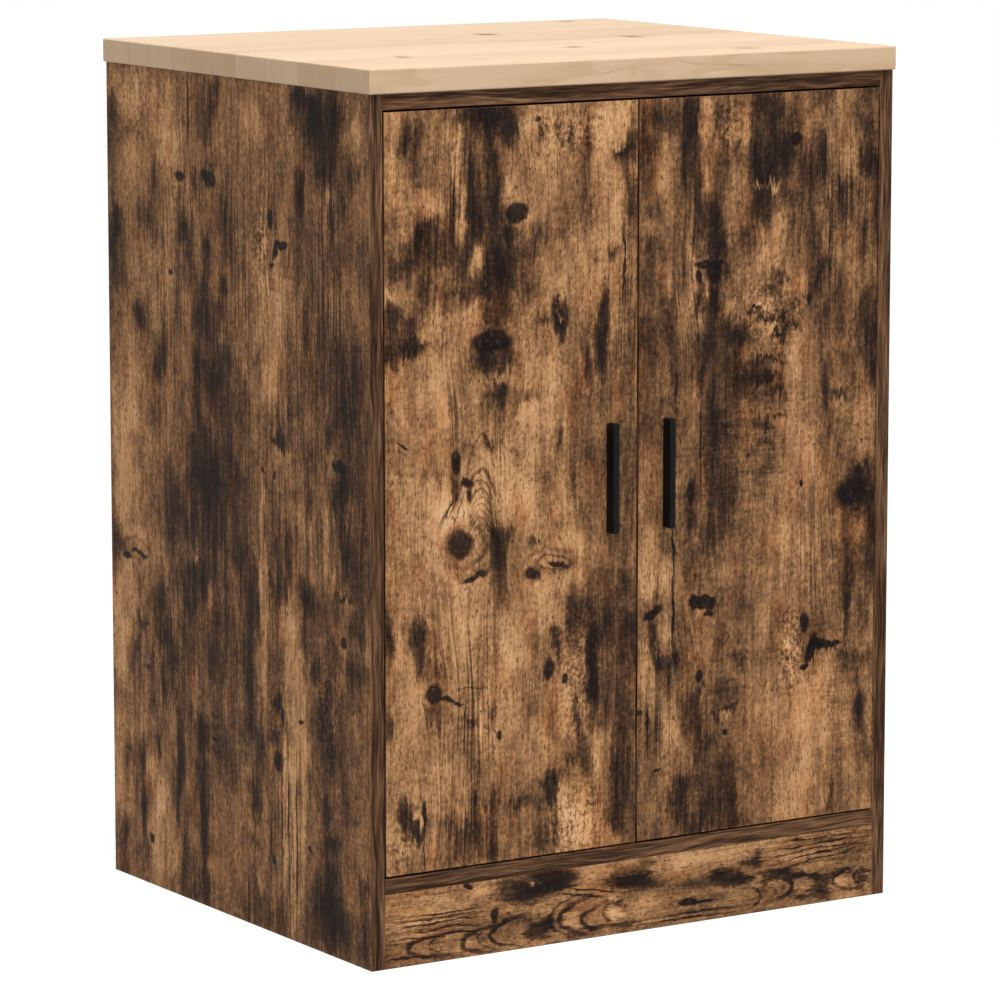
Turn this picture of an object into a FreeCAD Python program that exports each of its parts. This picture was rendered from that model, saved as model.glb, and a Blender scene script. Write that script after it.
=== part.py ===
import FreeCAD, Part
import Sketcher
import os
import re
from FreeCAD import Rotation, Vector

# Garage storage cabinet with two inset doors under a solid pine worktop, in millimetres.
# +Z is up and the doors face -Y. The origin lies on the floor under the middle of the cabinet's box.

doc = FreeCAD.newDocument("storage_cabinet")
sheet = doc.addObject("Spreadsheet::Sheet", "Sizes")

sizes = {
    # carcass of melamine board
    "carcass_width": 598,
    "carcass_depth": 506,
    "carcass_height": 824,
    "board": 15,
    "edge_ease": 0.5,
    "plinth_height": 72,
    # worktop of edge-glued pine
    "top_thickness": 23,
    "side_overhang": 1,
    "front_overhang": 4,
    "back_overhang": 5,
    "top_ease": 1.5,
    # back panel in its grooves
    "back_thickness": 3,
    "back_inset": 10,
    "groove_depth": 6,
    "groove_play": 0.2,
    # doors and the gaps round them
    "door_thickness": 15,
    "hinge_gap": 1.5,
    "centre_gap": 2,
    "door_gap": 2,
    # bar handles
    "handle_length": 106,
    "handle_width": 7,
    "handle_projection": 13,
    "handle_ease": 1.2,
    "handle_offset": 32.5,
    "handle_pitch": 96,
    "handle_screw": 4,
    "handle_thread": 8,
    # shelves on pins
    "shelf_setback": 40,
    "shelf_play": 1.6,
    "shelf_back_gap": 3,
    "lower_shelf_rise": 230,
    "upper_shelf_drop": 246,
    "peg_diameter": 5,
    "peg_depth": 9,
    "peg_reach": 9,
    "peg_collar": 8,
    "peg_collar_thickness": 1.2,
    "peg_front": 85,
    "peg_back": 70,
    "peg_pitch": 32,
    # dowels and cam fittings between the boards
    "fit_play": 0.05,
    "bore_play": 0.5,
    "joint_front": 60,
    "joint_back": 70,
    "joint_step": 32,
    "dowel_diameter": 8,
    "dowel_length": 30,
    "dowel_depth": 10,
    "cam_diameter": 15,
    "cam_cover": 2.5,
    "cam_offset": 24,
    "bolt_thread": 5,
    "bolt_depth": 10.5,
    "bolt_shank": 7,
    "bolt_neck": 4,
    "bolt_head": 6.4,
    "bolt_head_length": 3,
    "plinth_cam_rise": 22,
    "plinth_dowel_rise": 50,
    "plinth_dowel_spread": 300,
    # screws up through the top panel into the worktop
    "top_screw": 4,
    "top_screw_grip": 15,
    "top_screw_inset": 70,
    "top_screw_setback": 90,
    # screw heads and their cross recess
    "head_diameter": 8,
    "head_height": 2.2,
    "recess_length": 4.4,
    "recess_width": 1,
    "recess_depth": 1.2,
    # cup hinges
    "hinge_inset": 100,
    "cup_diameter": 35,
    "cup_edge": 4.5,
    "cup_wall": 3.2,
    "cup_floor": 0.6,
    "door_skin": 2.5,
    "flange_thickness": 1.2,
    "flange_height": 62,
    "flange_width": 22,
    "flange_shift": 4.5,
    "cup_screw_spread": 45,
    "cup_screw_shift": 9.5,
    "cup_screw": 3.5,
    "cup_screw_grip": 10.8,
    "pivot_edge": 16,
    "pivot_front": 6,
    "pivot_diameter": 3,
    "pivot_length": 26,
    "pivot_play": 0.08,
    "knuckle_diameter": 5,
    "arm_width": 16,
    "arm_play": 0.4,
    "arm_thickness": 2.5,
    "arm_bend": 1.2,
    "arm_end": 74,
    "neck_play": 2.5,
    "swing_play": 1.2,
    "plate_height": 8,
    "plate_block": 15,
    "plate_front": 32,
    "plate_back": 78,
    "plate_wing": 2,
    "plate_wing_height": 48,
    "plate_wing_width": 14,
    "plate_hole_pitch": 32,
    "plate_hole_front": 52,
    "plate_screw": 5,
    "plate_screw_grip": 11,
    "arm_screw": 4,
    "arm_screw_grip": 4.5,
    "clamp_screw_front": 67,
    "set_screw_front": 40,
}
for row, (alias, value) in enumerate(sizes.items(), start=1):
    sheet.set(f"A{row}", alias)
    sheet.set(f"B{row}", str(value))
    sheet.setAlias(f"B{row}", alias)
doc.recompute()

sides = ("left", "right")
levels = ("lower", "upper")
signs = ("+", "-")
inward = {"left": "+x", "right": "-x"}
outward = {"left": "-x", "right": "+x"}
opposite = {"+x": "-x", "-x": "+x", "+y": "-y", "-y": "+y", "+z": "-z", "-z": "+z"}
turns = {
    "+x": Rotation(Vector(0, 1, 0), 90),
    "-x": Rotation(Vector(0, 1, 0), -90),
    "+y": Rotation(Vector(1, 0, 0), -90),
    "-y": Rotation(Vector(1, 0, 0), 90),
    "+z": Rotation(),
    "-z": Rotation(Vector(1, 0, 0), 180),
}

# Places that several pieces share, written as expressions of the sheet's values.
front = "((handle_projection - carcass_depth - back_overhang) / 2)"
back = f"({front} + carcass_depth)"
inner = "(carcass_width / 2 - board)"
inner_width = f"(2 * {inner})"
cabinet_floor = "(plinth_height + board)"
cabinet_ceiling = "(carcass_height - board)"


def across(side, depth):
    # X of a point that lies a depth inwards from a side panel's inner face
    return f"({depth} - {inner})" if side == "left" else f"({inner} - ({depth}))"


def across_box(side, depth, length):
    # lowest X of a box that starts a depth inwards from a side panel's inner face
    return across(side, depth) if side == "left" else across(side, f"{depth} + {length}")


# back panel and its grooves
back_face = f"({back} - back_inset - back_thickness)"
back_insert = "(groove_depth - bore_play)"
groove_front = f"({back_face} - groove_play / 2)"
groove_width = "(back_thickness + groove_play)"

# joints between the boards
joint_rows = [f"({front} + joint_front)", f"({back} - joint_back)"]
dowel_rows = [f"({front} + joint_front + joint_step)", f"({back} - joint_back - joint_step)"]
panel_middles = {"top": "(carcass_height - board / 2)", "bottom": "(plinth_height + board / 2)"}
plinth_middle = f"({front} + board / 2)"
plinth_dowel_spots = ["(-plinth_dowel_spread / 2)", "(plinth_dowel_spread / 2)"]
cam_faces = {"top": "carcass_height", "bottom": "plinth_height"}
cam_ways = {"top": "-z", "bottom": "+z"}
dowel_socket = ("dowel_diameter", "dowel_depth + bore_play / 2")
dowel_bore = ("dowel_diameter", "dowel_length - dowel_depth + bore_play / 2")
dowel_size = ("dowel_diameter - 2 * fit_play", "dowel_length")
top_screw_spots = [
    (x, y)
    for x in (across("left", "top_screw_inset"), "0", across("right", "top_screw_inset"))
    for y in (f"({front} + top_screw_setback)", f"({back} - top_screw_setback)")
]

# shelves
shelf_seats = {
    "lower": f"({cabinet_floor} + lower_shelf_rise)",
    "upper": f"({cabinet_ceiling} - upper_shelf_drop)",
}
peg_rows = [f"({front} + peg_front)", f"({back} - peg_back)"]
peg_steps = range(-2, 3)

# doors and hinges
door_front = front
door_back = f"({front} + door_thickness)"
door_bottom = f"({cabinet_floor} + door_gap)"
door_top = f"({cabinet_ceiling} - door_gap)"
door_height = f"({door_top} - {door_bottom})"
door_width = f"({inner} - hinge_gap - centre_gap / 2)"
door_middle = f"(({door_bottom} + {door_top}) / 2)"
hinge_rises = {"lower": f"({door_bottom} + hinge_inset)", "upper": f"({door_top} - hinge_inset)"}
pivot_in = "(hinge_gap + pivot_edge)"
pivot_y = f"({front} + pivot_front)"
behind_pivot = "(door_thickness - pivot_front)"
neck_reach = f"({behind_pivot} + neck_play)"
neck_height = f"(sqrt(pivot_edge ^ 2 + {behind_pivot} ^ 2) + swing_play)"
cup_in = "(hinge_gap + cup_edge + cup_diameter / 2)"
cup_screw_in = f"({cup_in} + cup_screw_shift)"
plate_screw_y = f"({front} + plate_hole_front)"
arm_screw_rows = [f"({front} + clamp_screw_front)", f"({front} + set_screw_front)"]


def cup_screw_heights(level):
    return [f"({hinge_rises[level]} {sign} cup_screw_spread / 2)" for sign in signs]


def plate_screw_heights(level):
    return [f"({hinge_rises[level]} {sign} plate_hole_pitch / 2)" for sign in signs]


# Building blocks.
def bind(target, path, text):
    # ties one property to an expression, where each size's name stands for its cell
    def cell(word):
        return f"Sizes.{word[0]}" if word[0] in sizes else word[0]
    target.setExpression(path, re.sub(r"[a-z]\w*", cell, text))


def place(target, corner):
    for axis, text in zip("xyz", corner):
        bind(target, f"Placement.Base.{axis}", text)
    return target


def box(name, corner, extent):
    solid = doc.addObject("Part::Box", name)
    for edge, text in zip(("Length", "Width", "Height"), extent):
        bind(solid, edge, text)
    return place(solid, corner)


def rod(name, way, start, diameter, length):
    # a cylinder that runs from start the way given
    solid = doc.addObject("Part::Cylinder", name)
    solid.Placement.Rotation = turns[way]
    bind(solid, "Radius", f"({diameter}) / 2")
    bind(solid, "Height", length)
    return place(solid, start)


def fuse(name, solids):
    whole = doc.addObject("Part::MultiFuse", name)
    whole.Shapes = solids
    return whole


def cut(name, base, tools):
    rest = doc.addObject("Part::Cut", name)
    rest.Base = base
    rest.Tool = fuse(f"{name}_cuts", tools) if len(tools) > 1 else tools[0]
    return rest


def group(name, solids):
    pieces = doc.addObject("Part::Compound", name)
    pieces.Links = solids
    return pieces


def eased_board(name, corner, extent, ease):
    # a rectangular blank whose edges are all rounded by the same small radius
    body = doc.addObject("PartDesign::Body", name)
    blank = body.newObject("PartDesign::AdditiveBox", f"{name}_block")
    for edge, text in zip(("Length", "Width", "Height"), extent):
        bind(blank, edge, text)
    doc.recompute()
    rounding = body.newObject("PartDesign::Fillet", f"{name}_rounding")
    rounding.Base = (blank, ["Edge1"])
    rounding.UseAllEdges = True
    bind(rounding, "Radius", ease)
    return place(body, corner)


def moved(point, way, distance):
    axis = "xyz".index(way[1])
    return [f"({text} {way[0]} ({distance}))" if index == axis else text for index, text in enumerate(point)]


def replaced(point, way, text):
    # the point with its place along one direction set anew
    axis = "xyz".index(way[1])
    return [text if index == axis else old for index, old in enumerate(point)]


def cross_recess(name, way, start):
    # two crossed slots sunk into a head from start, the way given
    slots = []
    for spans in (("recess_length", "recess_width"), ("recess_width", "recess_length")):
        remaining = list(spans)
        corner = []
        extent = []
        for axis, middle in zip("xyz", start):
            if axis == way[1]:
                corner.append(f"{middle} - recess_depth" if way[0] == "-" else middle)
                extent.append("recess_depth")
            else:
                span = remaining.pop()
                corner.append(f"{middle} - {span} / 2")
                extent.append(span)
        slots.append(box(f"{name}_slot", corner, extent))
    return fuse(f"{name}_recess", slots)


def screw(name, way, seat, diameter, length):
    # a pan-head screw that points the way given, with the underside of its head at seat
    shank = rod(f"{name}_shank", way, seat, f"{diameter} - 2 * fit_play", length)
    head = rod(f"{name}_head", opposite[way], seat, "head_diameter", "head_height")
    recess = cross_recess(name, way, moved(seat, opposite[way], "head_height"))
    return cut(name, fuse(f"{name}_solid", [shank, head]), [recess])


def padded_strip(name, outline, width, middle):
    # a straight-sided outline in the plan plane, padded evenly to both sides of a height
    body = doc.addObject("PartDesign::Body", name)
    plane = next(item for item in body.Origin.OriginFeatures if item.Role == "XY_Plane")
    sketch = body.newObject("Sketcher::SketchObject", f"{name}_outline")
    sketch.AttachmentSupport = [(plane, "")]
    sketch.MapMode = "FlatFace"
    bind(sketch, "AttachmentOffset.Base.z", middle)
    count = len(outline)
    starts = [Vector(index, index * index, 0) for index in range(count)]
    for index, start in enumerate(starts):
        sketch.addGeometry(Part.LineSegment(start, starts[(index + 1) % count]), False)
    for index, point in enumerate(outline):
        sketch.addConstraint(Sketcher.Constraint("Coincident", index, 2, (index + 1) % count, 1))
        for kind, text in zip(("DistanceX", "DistanceY"), point):
            number = sketch.addConstraint(Sketcher.Constraint(kind, -1, 1, index, 1, 1.0))
            bind(sketch, f"Constraints[{number}]", text)
    doc.recompute()
    pad = body.newObject("PartDesign::Pad", f"{name}_pad")
    pad.Profile = sketch
    pad.Midplane = True
    bind(pad, "Length", width)
    doc.recompute()
    return body, sketch, pad


def round_corners(body, sketch, pad, corners, radius):
    # rounds the upright edges that stand on the numbered corners of the outline
    spots = [sketch.Geometry[corner].StartPoint for corner in corners]
    edges = []
    for number, edge in enumerate(pad.Shape.Edges, start=1):
        low, high = edge.BoundBox.ZMin, edge.BoundBox.ZMax
        middle = edge.CenterOfMass
        foot = Vector(middle.x, middle.y, 0)
        on_corner = any(foot.isEqual(Vector(spot.x, spot.y, 0), 1e-4) for spot in spots)
        if on_corner and high - low > edge.Length / 2:
            edges.append(f"Edge{number}")
    rounding = body.newObject("PartDesign::Fillet", f"{body.Name}_bends")
    rounding.Base = (pad, edges)
    bind(rounding, "Radius", radius)


# Boards of the carcass.
def cam_bores(name, side, way, y, z, panel_face):
    # the bores for one cam bolt in a panel's end and for its cam in the panel's hidden face
    cam_start = replaced((across(side, "cam_offset"), y, z), way, panel_face)
    bolt_start = (across(side, "0"), y, z)
    return [
        rod(f"{name}_cam_bore", way, cam_start, "cam_diameter + 2 * fit_play", "board - cam_cover"),
        rod(f"{name}_bolt_bore", inward[side], bolt_start, "bolt_shank + 2 * fit_play", "cam_offset"),
    ]


def worktop():
    corner = ("-(carcass_width / 2 + side_overhang)", f"{front} - front_overhang", "carcass_height")
    extent = (
        "carcass_width + 2 * side_overhang",
        "front_overhang + carcass_depth + back_overhang",
        "top_thickness",
    )
    pilots = [
        rod("worktop_pilot", "+z", (x, y, "carcass_height"), "top_screw", "top_screw_grip + bore_play")
        for x, y in top_screw_spots
    ]
    return cut("worktop", eased_board("worktop_blank", corner, extent, "top_ease"), pilots)


def side_panel(side):
    name = f"{side}_side_panel"
    corner = (across_box(side, "-board", "board"), front, "0")
    blank = eased_board(f"{name}_blank", corner, ("board", "carcass_depth", "carcass_height"), "edge_ease")
    face = across(side, "0")
    way = outward[side]
    bolt_hole = ("bolt_thread", "bolt_depth + bore_play")
    bolt_spots = [(row, height) for height in panel_middles.values() for row in joint_rows]
    bolt_spots.append((plinth_middle, "plinth_cam_rise"))
    dowel_spots = [(row, height) for height in panel_middles.values() for row in dowel_rows]
    dowel_spots.append((plinth_middle, "plinth_dowel_rise"))
    cuts = [rod(f"{name}_bolt_hole", way, (face, *spot), *bolt_hole) for spot in bolt_spots]
    cuts += [rod(f"{name}_dowel_hole", way, (face, *spot), *dowel_socket) for spot in dowel_spots]
    for level in levels:
        for z in plate_screw_heights(level):
            spot = (face, plate_screw_y, z)
            cuts.append(rod(f"{name}_plate_hole", way, spot, "plate_screw", "plate_screw_grip + bore_play"))
        for row in peg_rows:
            for step in peg_steps:
                spot = (face, row, f"{shelf_seats[level]} - peg_diameter / 2 + {step} * peg_pitch")
                cuts.append(rod(f"{name}_peg_hole", way, spot, "peg_diameter", "peg_depth + bore_play"))
    groove_x = across_box(side, "-groove_depth", "groove_depth")
    groove_height = f"{cabinet_ceiling} - {cabinet_floor} + 2 * groove_depth"
    groove_corner = (groove_x, groove_front, f"{cabinet_floor} - groove_depth")
    cuts.append(box(f"{name}_groove", groove_corner, ("groove_depth", groove_width, groove_height)))
    return cut(name, blank, cuts)


def level_panel(kind):
    # the top or bottom panel, whose cams are bored from the face that stays hidden
    name = f"{kind}_panel"
    underside = {"top": cabinet_ceiling, "bottom": "plinth_height"}[kind]
    extent = (inner_width, "carcass_depth", "board")
    blank = eased_board(f"{name}_blank", (f"-{inner}", front, underside), extent, "edge_ease")
    height = panel_middles[kind]
    cuts = []
    for side in sides:
        for row in joint_rows:
            cuts += cam_bores(name, side, cam_ways[kind], row, height, cam_faces[kind])
        for row in dowel_rows:
            spot = (across(side, "0"), row, height)
            cuts.append(rod(f"{name}_dowel_hole", inward[side], spot, *dowel_bore))
    groove_rise = {"top": cabinet_ceiling, "bottom": f"{cabinet_floor} - groove_depth"}[kind]
    groove_corner = (f"-{inner}", groove_front, groove_rise)
    cuts.append(box(f"{name}_groove", groove_corner, (inner_width, groove_width, "groove_depth")))
    if kind == "top":
        for x, y in top_screw_spots:
            cuts.append(rod(f"{name}_screw_hole", "+z", (x, y, cabinet_ceiling), "top_screw", "board"))
    else:
        for x in plinth_dowel_spots:
            spot = (x, plinth_middle, "plinth_height")
            cuts.append(rod(f"{name}_dowel_hole", "+z", spot, *dowel_socket))
    return cut(name, blank, cuts)


def plinth_board():
    extent = (inner_width, "board", "plinth_height")
    blank = eased_board("plinth_blank", (f"-{inner}", front, "0"), extent, "edge_ease")
    cuts = []
    for side in sides:
        cuts += cam_bores("plinth", side, "-y", plinth_middle, "plinth_cam_rise", f"({front} + board)")
        spot = (across(side, "0"), plinth_middle, "plinth_dowel_rise")
        cuts.append(rod("plinth_dowel_hole", inward[side], spot, *dowel_bore))
    for x in plinth_dowel_spots:
        cuts.append(rod("plinth_dowel_hole", "-z", (x, plinth_middle, "plinth_height"), *dowel_bore))
    return cut("plinth_board", blank, cuts)


def back_panel():
    corner = (f"-({inner} + {back_insert})", back_face, f"{cabinet_floor} - {back_insert}")
    height = f"{cabinet_ceiling} - {cabinet_floor} + 2 * {back_insert}"
    return box("back_panel", corner, (f"{inner_width} + 2 * {back_insert}", "back_thickness", height))


# Fittings that hold the boards together.
def cam_bolt(side, y, z):
    # screwed into the side panel, with a necked head that reaches into the cam
    start = (across(side, "0"), y, z)
    head_start = (across(side, "cam_offset - bolt_head_length / 2"), y, z)
    shank_length = "cam_offset - cam_diameter / 2 - bore_play"
    stages = [
        rod("bolt_thread", outward[side], start, "bolt_thread - 2 * fit_play", "bolt_depth"),
        rod("bolt_shank", inward[side], start, "bolt_shank", shank_length),
        rod("bolt_neck", inward[side], start, "bolt_neck", "cam_offset"),
        rod("bolt_head", inward[side], head_start, "bolt_head", "bolt_head_length"),
    ]
    return fuse("cam_bolt", stages)


def cam_lock(side, way, y, z, panel_face):
    # a turning drum, hollowed towards the panel's end so that it grips the bolt's head
    start = replaced((across(side, "cam_offset"), y, z), way, panel_face)
    drum = rod("cam_drum", way, start, "cam_diameter", "board - cam_cover - bore_play")
    mouth_start = (across(side, "cam_offset - cam_diameter / 2 - bore_play"), y, z)
    mouth_length = "cam_diameter / 2 + bolt_head_length / 2 + 2 * bore_play"
    mouth = rod("cam_mouth", inward[side], mouth_start, "bolt_head + 2 * bore_play", mouth_length)
    return cut("cam_lock", drum, [mouth, cross_recess("cam", way, start)])


def carcass_fittings():
    bolts = []
    cams = []
    dowels = []
    joints = [
        (cam_ways[kind], row, height, cam_faces[kind])
        for kind, height in panel_middles.items()
        for row in joint_rows
    ]
    joints.append(("-y", plinth_middle, "plinth_cam_rise", f"({front} + board)"))
    dowel_spots = [(row, height) for height in panel_middles.values() for row in dowel_rows]
    dowel_spots.append((plinth_middle, "plinth_dowel_rise"))
    for side in sides:
        for way, y, z, panel_face in joints:
            bolts.append(cam_bolt(side, y, z))
            cams.append(cam_lock(side, way, y, z, panel_face))
        for spot in dowel_spots:
            dowels.append(rod("dowel", inward[side], (across(side, "-dowel_depth"), *spot), *dowel_size))
    for x in plinth_dowel_spots:
        dowels.append(rod("dowel", "-z", (x, plinth_middle, "plinth_height + dowel_depth"), *dowel_size))
    screws = [
        screw("worktop_screw", "+z", (x, y, cabinet_ceiling), "top_screw", "board + top_screw_grip")
        for x, y in top_screw_spots
    ]
    return [
        group("cam_bolts", bolts),
        group("cam_locks", cams),
        group("wood_dowels", dowels),
        group("worktop_screws", screws),
    ]


# Shelves.
def shelf_set(level):
    # one adjustable shelf and the four pins that it lies on
    corner = (across("left", "shelf_play"), f"{front} + shelf_setback", shelf_seats[level])
    depth = f"{back_face} - shelf_back_gap - {front} - shelf_setback"
    extent = (f"{inner_width} - 2 * shelf_play", depth, "board")
    shelf = eased_board(f"{level}_shelf", corner, extent, "edge_ease")
    pins = []
    for side in sides:
        for row in peg_rows:
            start = (across(side, "0"), row, f"{shelf_seats[level]} - peg_diameter / 2")
            plug = rod("peg_plug", outward[side], start, "peg_diameter - 2 * fit_play", "peg_depth")
            collar = rod("peg_collar", inward[side], start, "peg_collar", "peg_collar_thickness")
            rest = rod("peg_rest", inward[side], start, "peg_diameter", "peg_reach")
            pins.append(fuse("shelf_pin", [plug, collar, rest]))
    return [shelf, group(f"{level}_shelf_pins", pins)]


# Doors and handles.
def door_set(side):
    name = f"{side}_door"
    corner = (across_box(side, "hinge_gap", door_width), door_front, door_bottom)
    blank = eased_board(f"{name}_blank", corner, (door_width, "door_thickness", door_height), "edge_ease")
    handle_x = "(-handle_offset)" if side == "left" else "handle_offset"
    cuts = []
    threads = []
    screws = []
    for sign in signs:
        z = f"({door_middle} {sign} handle_pitch / 2)"
        inside = (handle_x, door_back, z)
        outside = (handle_x, door_front, z)
        cuts.append(rod(f"{name}_handle_hole", "-y", inside, "handle_screw", "door_thickness"))
        threads.append(rod("handle_thread_hole", "-y", outside, "handle_screw", "handle_thread + bore_play"))
        screws.append(screw("handle_screw", "-y", inside, "handle_screw", "door_thickness + handle_thread"))
    for level in levels:
        spot = (across(side, cup_in), door_back, hinge_rises[level])
        cup_hole = ("cup_diameter + 2 * fit_play", "door_thickness - door_skin")
        cuts.append(rod(f"{name}_cup_hole", "-y", spot, *cup_hole))
        for z in cup_screw_heights(level):
            spot = (across(side, cup_screw_in), door_back, z)
            cuts.append(rod(f"{name}_cup_screw_hole", "-y", spot, "cup_screw", "cup_screw_grip + bore_play"))
    bar_corner = (
        f"{handle_x} - handle_width / 2",
        f"{door_front} - handle_projection",
        f"{door_middle} - handle_length / 2",
    )
    bar_extent = ("handle_width", "handle_projection", "handle_length")
    bar = eased_board(f"{side}_handle_blank", bar_corner, bar_extent, "handle_ease")
    return [
        cut(name, blank, cuts),
        cut(f"{side}_handle", bar, threads),
        group(f"{side}_handle_screws", screws),
    ]


# Cup hinges: the arm turns on a pivot inside the cup, so the door swings about that one line.
def hinge_cup(side, level):
    # let into the door, with a pocket for the arm, cheeks that hold the pivot, and a screwed flange
    name = f"{side}_{level}_hinge_cup"
    rise = hinge_rises[level]
    cup_start = (across(side, cup_in), door_back, rise)
    drum = rod(f"{name}_drum", "-y", cup_start, "cup_diameter", "door_thickness - door_skin - fit_play")
    flange_in = f"{cup_in} + flange_shift - flange_width / 2"
    flange_corner = (across_box(side, flange_in, "flange_width"), door_back, f"{rise} - flange_height / 2")
    flange = box(f"{name}_flange", flange_corner, ("flange_width", "flange_thickness", "flange_height"))
    pocket_width = "(cup_diameter - 2 * cup_wall)"
    pocket_height = "(arm_width + 2 * arm_play)"
    pocket_floor = f"({door_front} + door_skin + fit_play + cup_floor)"
    pocket_depth = f"({door_back} + flange_thickness - {pocket_floor})"
    pocket_x = across_box(side, f"{cup_in} - {pocket_width} / 2", pocket_width)
    pocket_corner = (pocket_x, pocket_floor, f"{rise} - {pocket_height} / 2")
    cuts = [box(f"{name}_pocket", pocket_corner, (pocket_width, pocket_depth, pocket_height))]
    pivot_start = (across(side, pivot_in), pivot_y, f"{rise} - pivot_length / 2")
    pivot_hole = ("pivot_diameter + 2 * fit_play", "pivot_length")
    cuts.append(rod(f"{name}_pivot_hole", "+z", pivot_start, *pivot_hole))
    for z in cup_screw_heights(level):
        start = (across(side, cup_screw_in), door_back, z)
        cuts.append(rod(f"{name}_screw_hole", "+y", start, "cup_screw", "flange_thickness"))
    return cut(name, fuse(f"{name}_casting", [drum, flange]), cuts)


def hinge_pivot(side, level):
    start = (across(side, pivot_in), pivot_y, f"{hinge_rises[level]} - pivot_length / 2")
    return rod(f"{side}_{level}_hinge_pivot", "+z", start, "pivot_diameter", "pivot_length")


def hinge_arm(side, level):
    # a folded steel strip: from its seat on the plate it bends round the door's edge to the pivot
    name = f"{side}_{level}_hinge_arm"
    rise = hinge_rises[level]
    at_pivot = across(side, pivot_in)
    neck = across(side, f"{pivot_in} + {neck_reach}")
    neck_outside = across(side, f"{pivot_in} + {neck_reach} + arm_thickness")
    seat = across(side, "plate_height")
    seat_outside = across(side, "plate_height + arm_thickness")
    below_pivot = f"{pivot_y} - arm_thickness / 2"
    above_pivot = f"{pivot_y} + arm_thickness / 2"
    neck_back = f"{pivot_y} + {neck_height}"
    neck_back_outside = f"{pivot_y} + {neck_height} + arm_thickness"
    end = f"{front} + arm_end"
    outline = [
        (at_pivot, below_pivot),
        (neck_outside, below_pivot),
        (neck_outside, neck_back_outside),
        (seat_outside, neck_back_outside),
        (seat_outside, end),
        (seat, end),
        (seat, neck_back),
        (neck, neck_back),
        (neck, above_pivot),
        (at_pivot, above_pivot),
    ]
    body, sketch, pad = padded_strip(f"{name}_strip", outline, "arm_width", rise)
    round_corners(body, sketch, pad, (1, 2, 3, 6, 7, 8), "arm_bend")
    knuckle_start = (at_pivot, pivot_y, f"{rise} - arm_width / 2")
    knuckle = rod(f"{name}_knuckle", "+z", knuckle_start, "knuckle_diameter", "arm_width")
    cuts = [rod(f"{name}_bore", "+z", knuckle_start, "pivot_diameter + 2 * pivot_play", "arm_width")]
    for row in arm_screw_rows:
        cuts.append(rod(f"{name}_screw_hole", inward[side], (seat, row, rise), "arm_screw", "arm_thickness"))
    return cut(name, fuse(f"{name}_folded", [body, knuckle]), cuts)


def hinge_plate(side, level):
    # screwed to the side panel: two wings and a raised block under the arm
    name = f"{side}_{level}_hinge_plate"
    rise = hinge_rises[level]
    block_x = across_box(side, "0", "plate_height")
    block_corner = (block_x, f"{front} + plate_front", f"{rise} - plate_block / 2")
    block = box(f"{name}_block", block_corner, ("plate_height", "plate_back - plate_front", "plate_block"))
    wing_y = f"{plate_screw_y} - plate_wing_width / 2"
    wing_corner = (across_box(side, "0", "plate_wing"), wing_y, f"{rise} - plate_wing_height / 2")
    wing = box(f"{name}_wing", wing_corner, ("plate_wing", "plate_wing_width", "plate_wing_height"))
    cuts = []
    for z in plate_screw_heights(level):
        start = (across(side, "0"), plate_screw_y, z)
        cuts.append(rod(f"{name}_screw_hole", inward[side], start, "plate_screw", "plate_wing"))
    for row in arm_screw_rows:
        start = (across(side, "plate_height"), row, rise)
        cuts.append(rod(f"{name}_thread", outward[side], start, "arm_screw", "arm_screw_grip + bore_play"))
    return cut(name, fuse(f"{name}_casting", [block, wing]), cuts)


def hinge_screws(side):
    # the screws of one door's two hinges: in the door, in the side panel and in the arms
    in_door = []
    in_panel = []
    in_arm = []
    way = outward[side]
    for level in levels:
        for z in cup_screw_heights(level):
            seat = (across(side, cup_screw_in), f"{door_back} + flange_thickness", z)
            in_door.append(screw("cup_screw", "-y", seat, "cup_screw", "flange_thickness + cup_screw_grip"))
        for z in plate_screw_heights(level):
            seat = (across(side, "plate_wing"), plate_screw_y, z)
            in_panel.append(screw("plate_screw", way, seat, "plate_screw", "plate_wing + plate_screw_grip"))
        for row in arm_screw_rows:
            seat = (across(side, "plate_height + arm_thickness"), row, hinge_rises[level])
            in_arm.append(screw("arm_screw", way, seat, "arm_screw", "arm_thickness + arm_screw_grip"))
    return [
        group(f"{side}_cup_screws", in_door),
        group(f"{side}_plate_screws", in_panel),
        group(f"{side}_arm_screws", in_arm),
    ]


# The whole cabinet, one file for each sub-part.
subparts = [worktop()]
subparts += [side_panel(side) for side in sides]
subparts += [level_panel(kind) for kind in panel_middles]
subparts += [plinth_board(), back_panel()]
subparts += carcass_fittings()
for level in levels:
    subparts += shelf_set(level)
for side in sides:
    subparts += door_set(side)
    subparts += hinge_screws(side)
    for level in levels:
        subparts += [make(side, level) for make in (hinge_cup, hinge_pivot, hinge_arm, hinge_plate)]
doc.recompute()

failed = [item.Name for item in doc.Objects if {"Invalid", "Error"} & set(item.State)]
bad = [item.Label for item in subparts if item.Shape.isNull() or not item.Shape.isValid()]
if failed or bad:
    raise RuntimeError(f"failed objects {failed}, bad shapes {bad}")
os.makedirs("parts", exist_ok=True)
for item in subparts:
    item.Shape.exportStep(f"parts/{item.Label}.step")
    print(item.Label, "solids", len(item.Shape.Solids), "volume", round(item.Shape.Volume))
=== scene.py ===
import math

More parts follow.
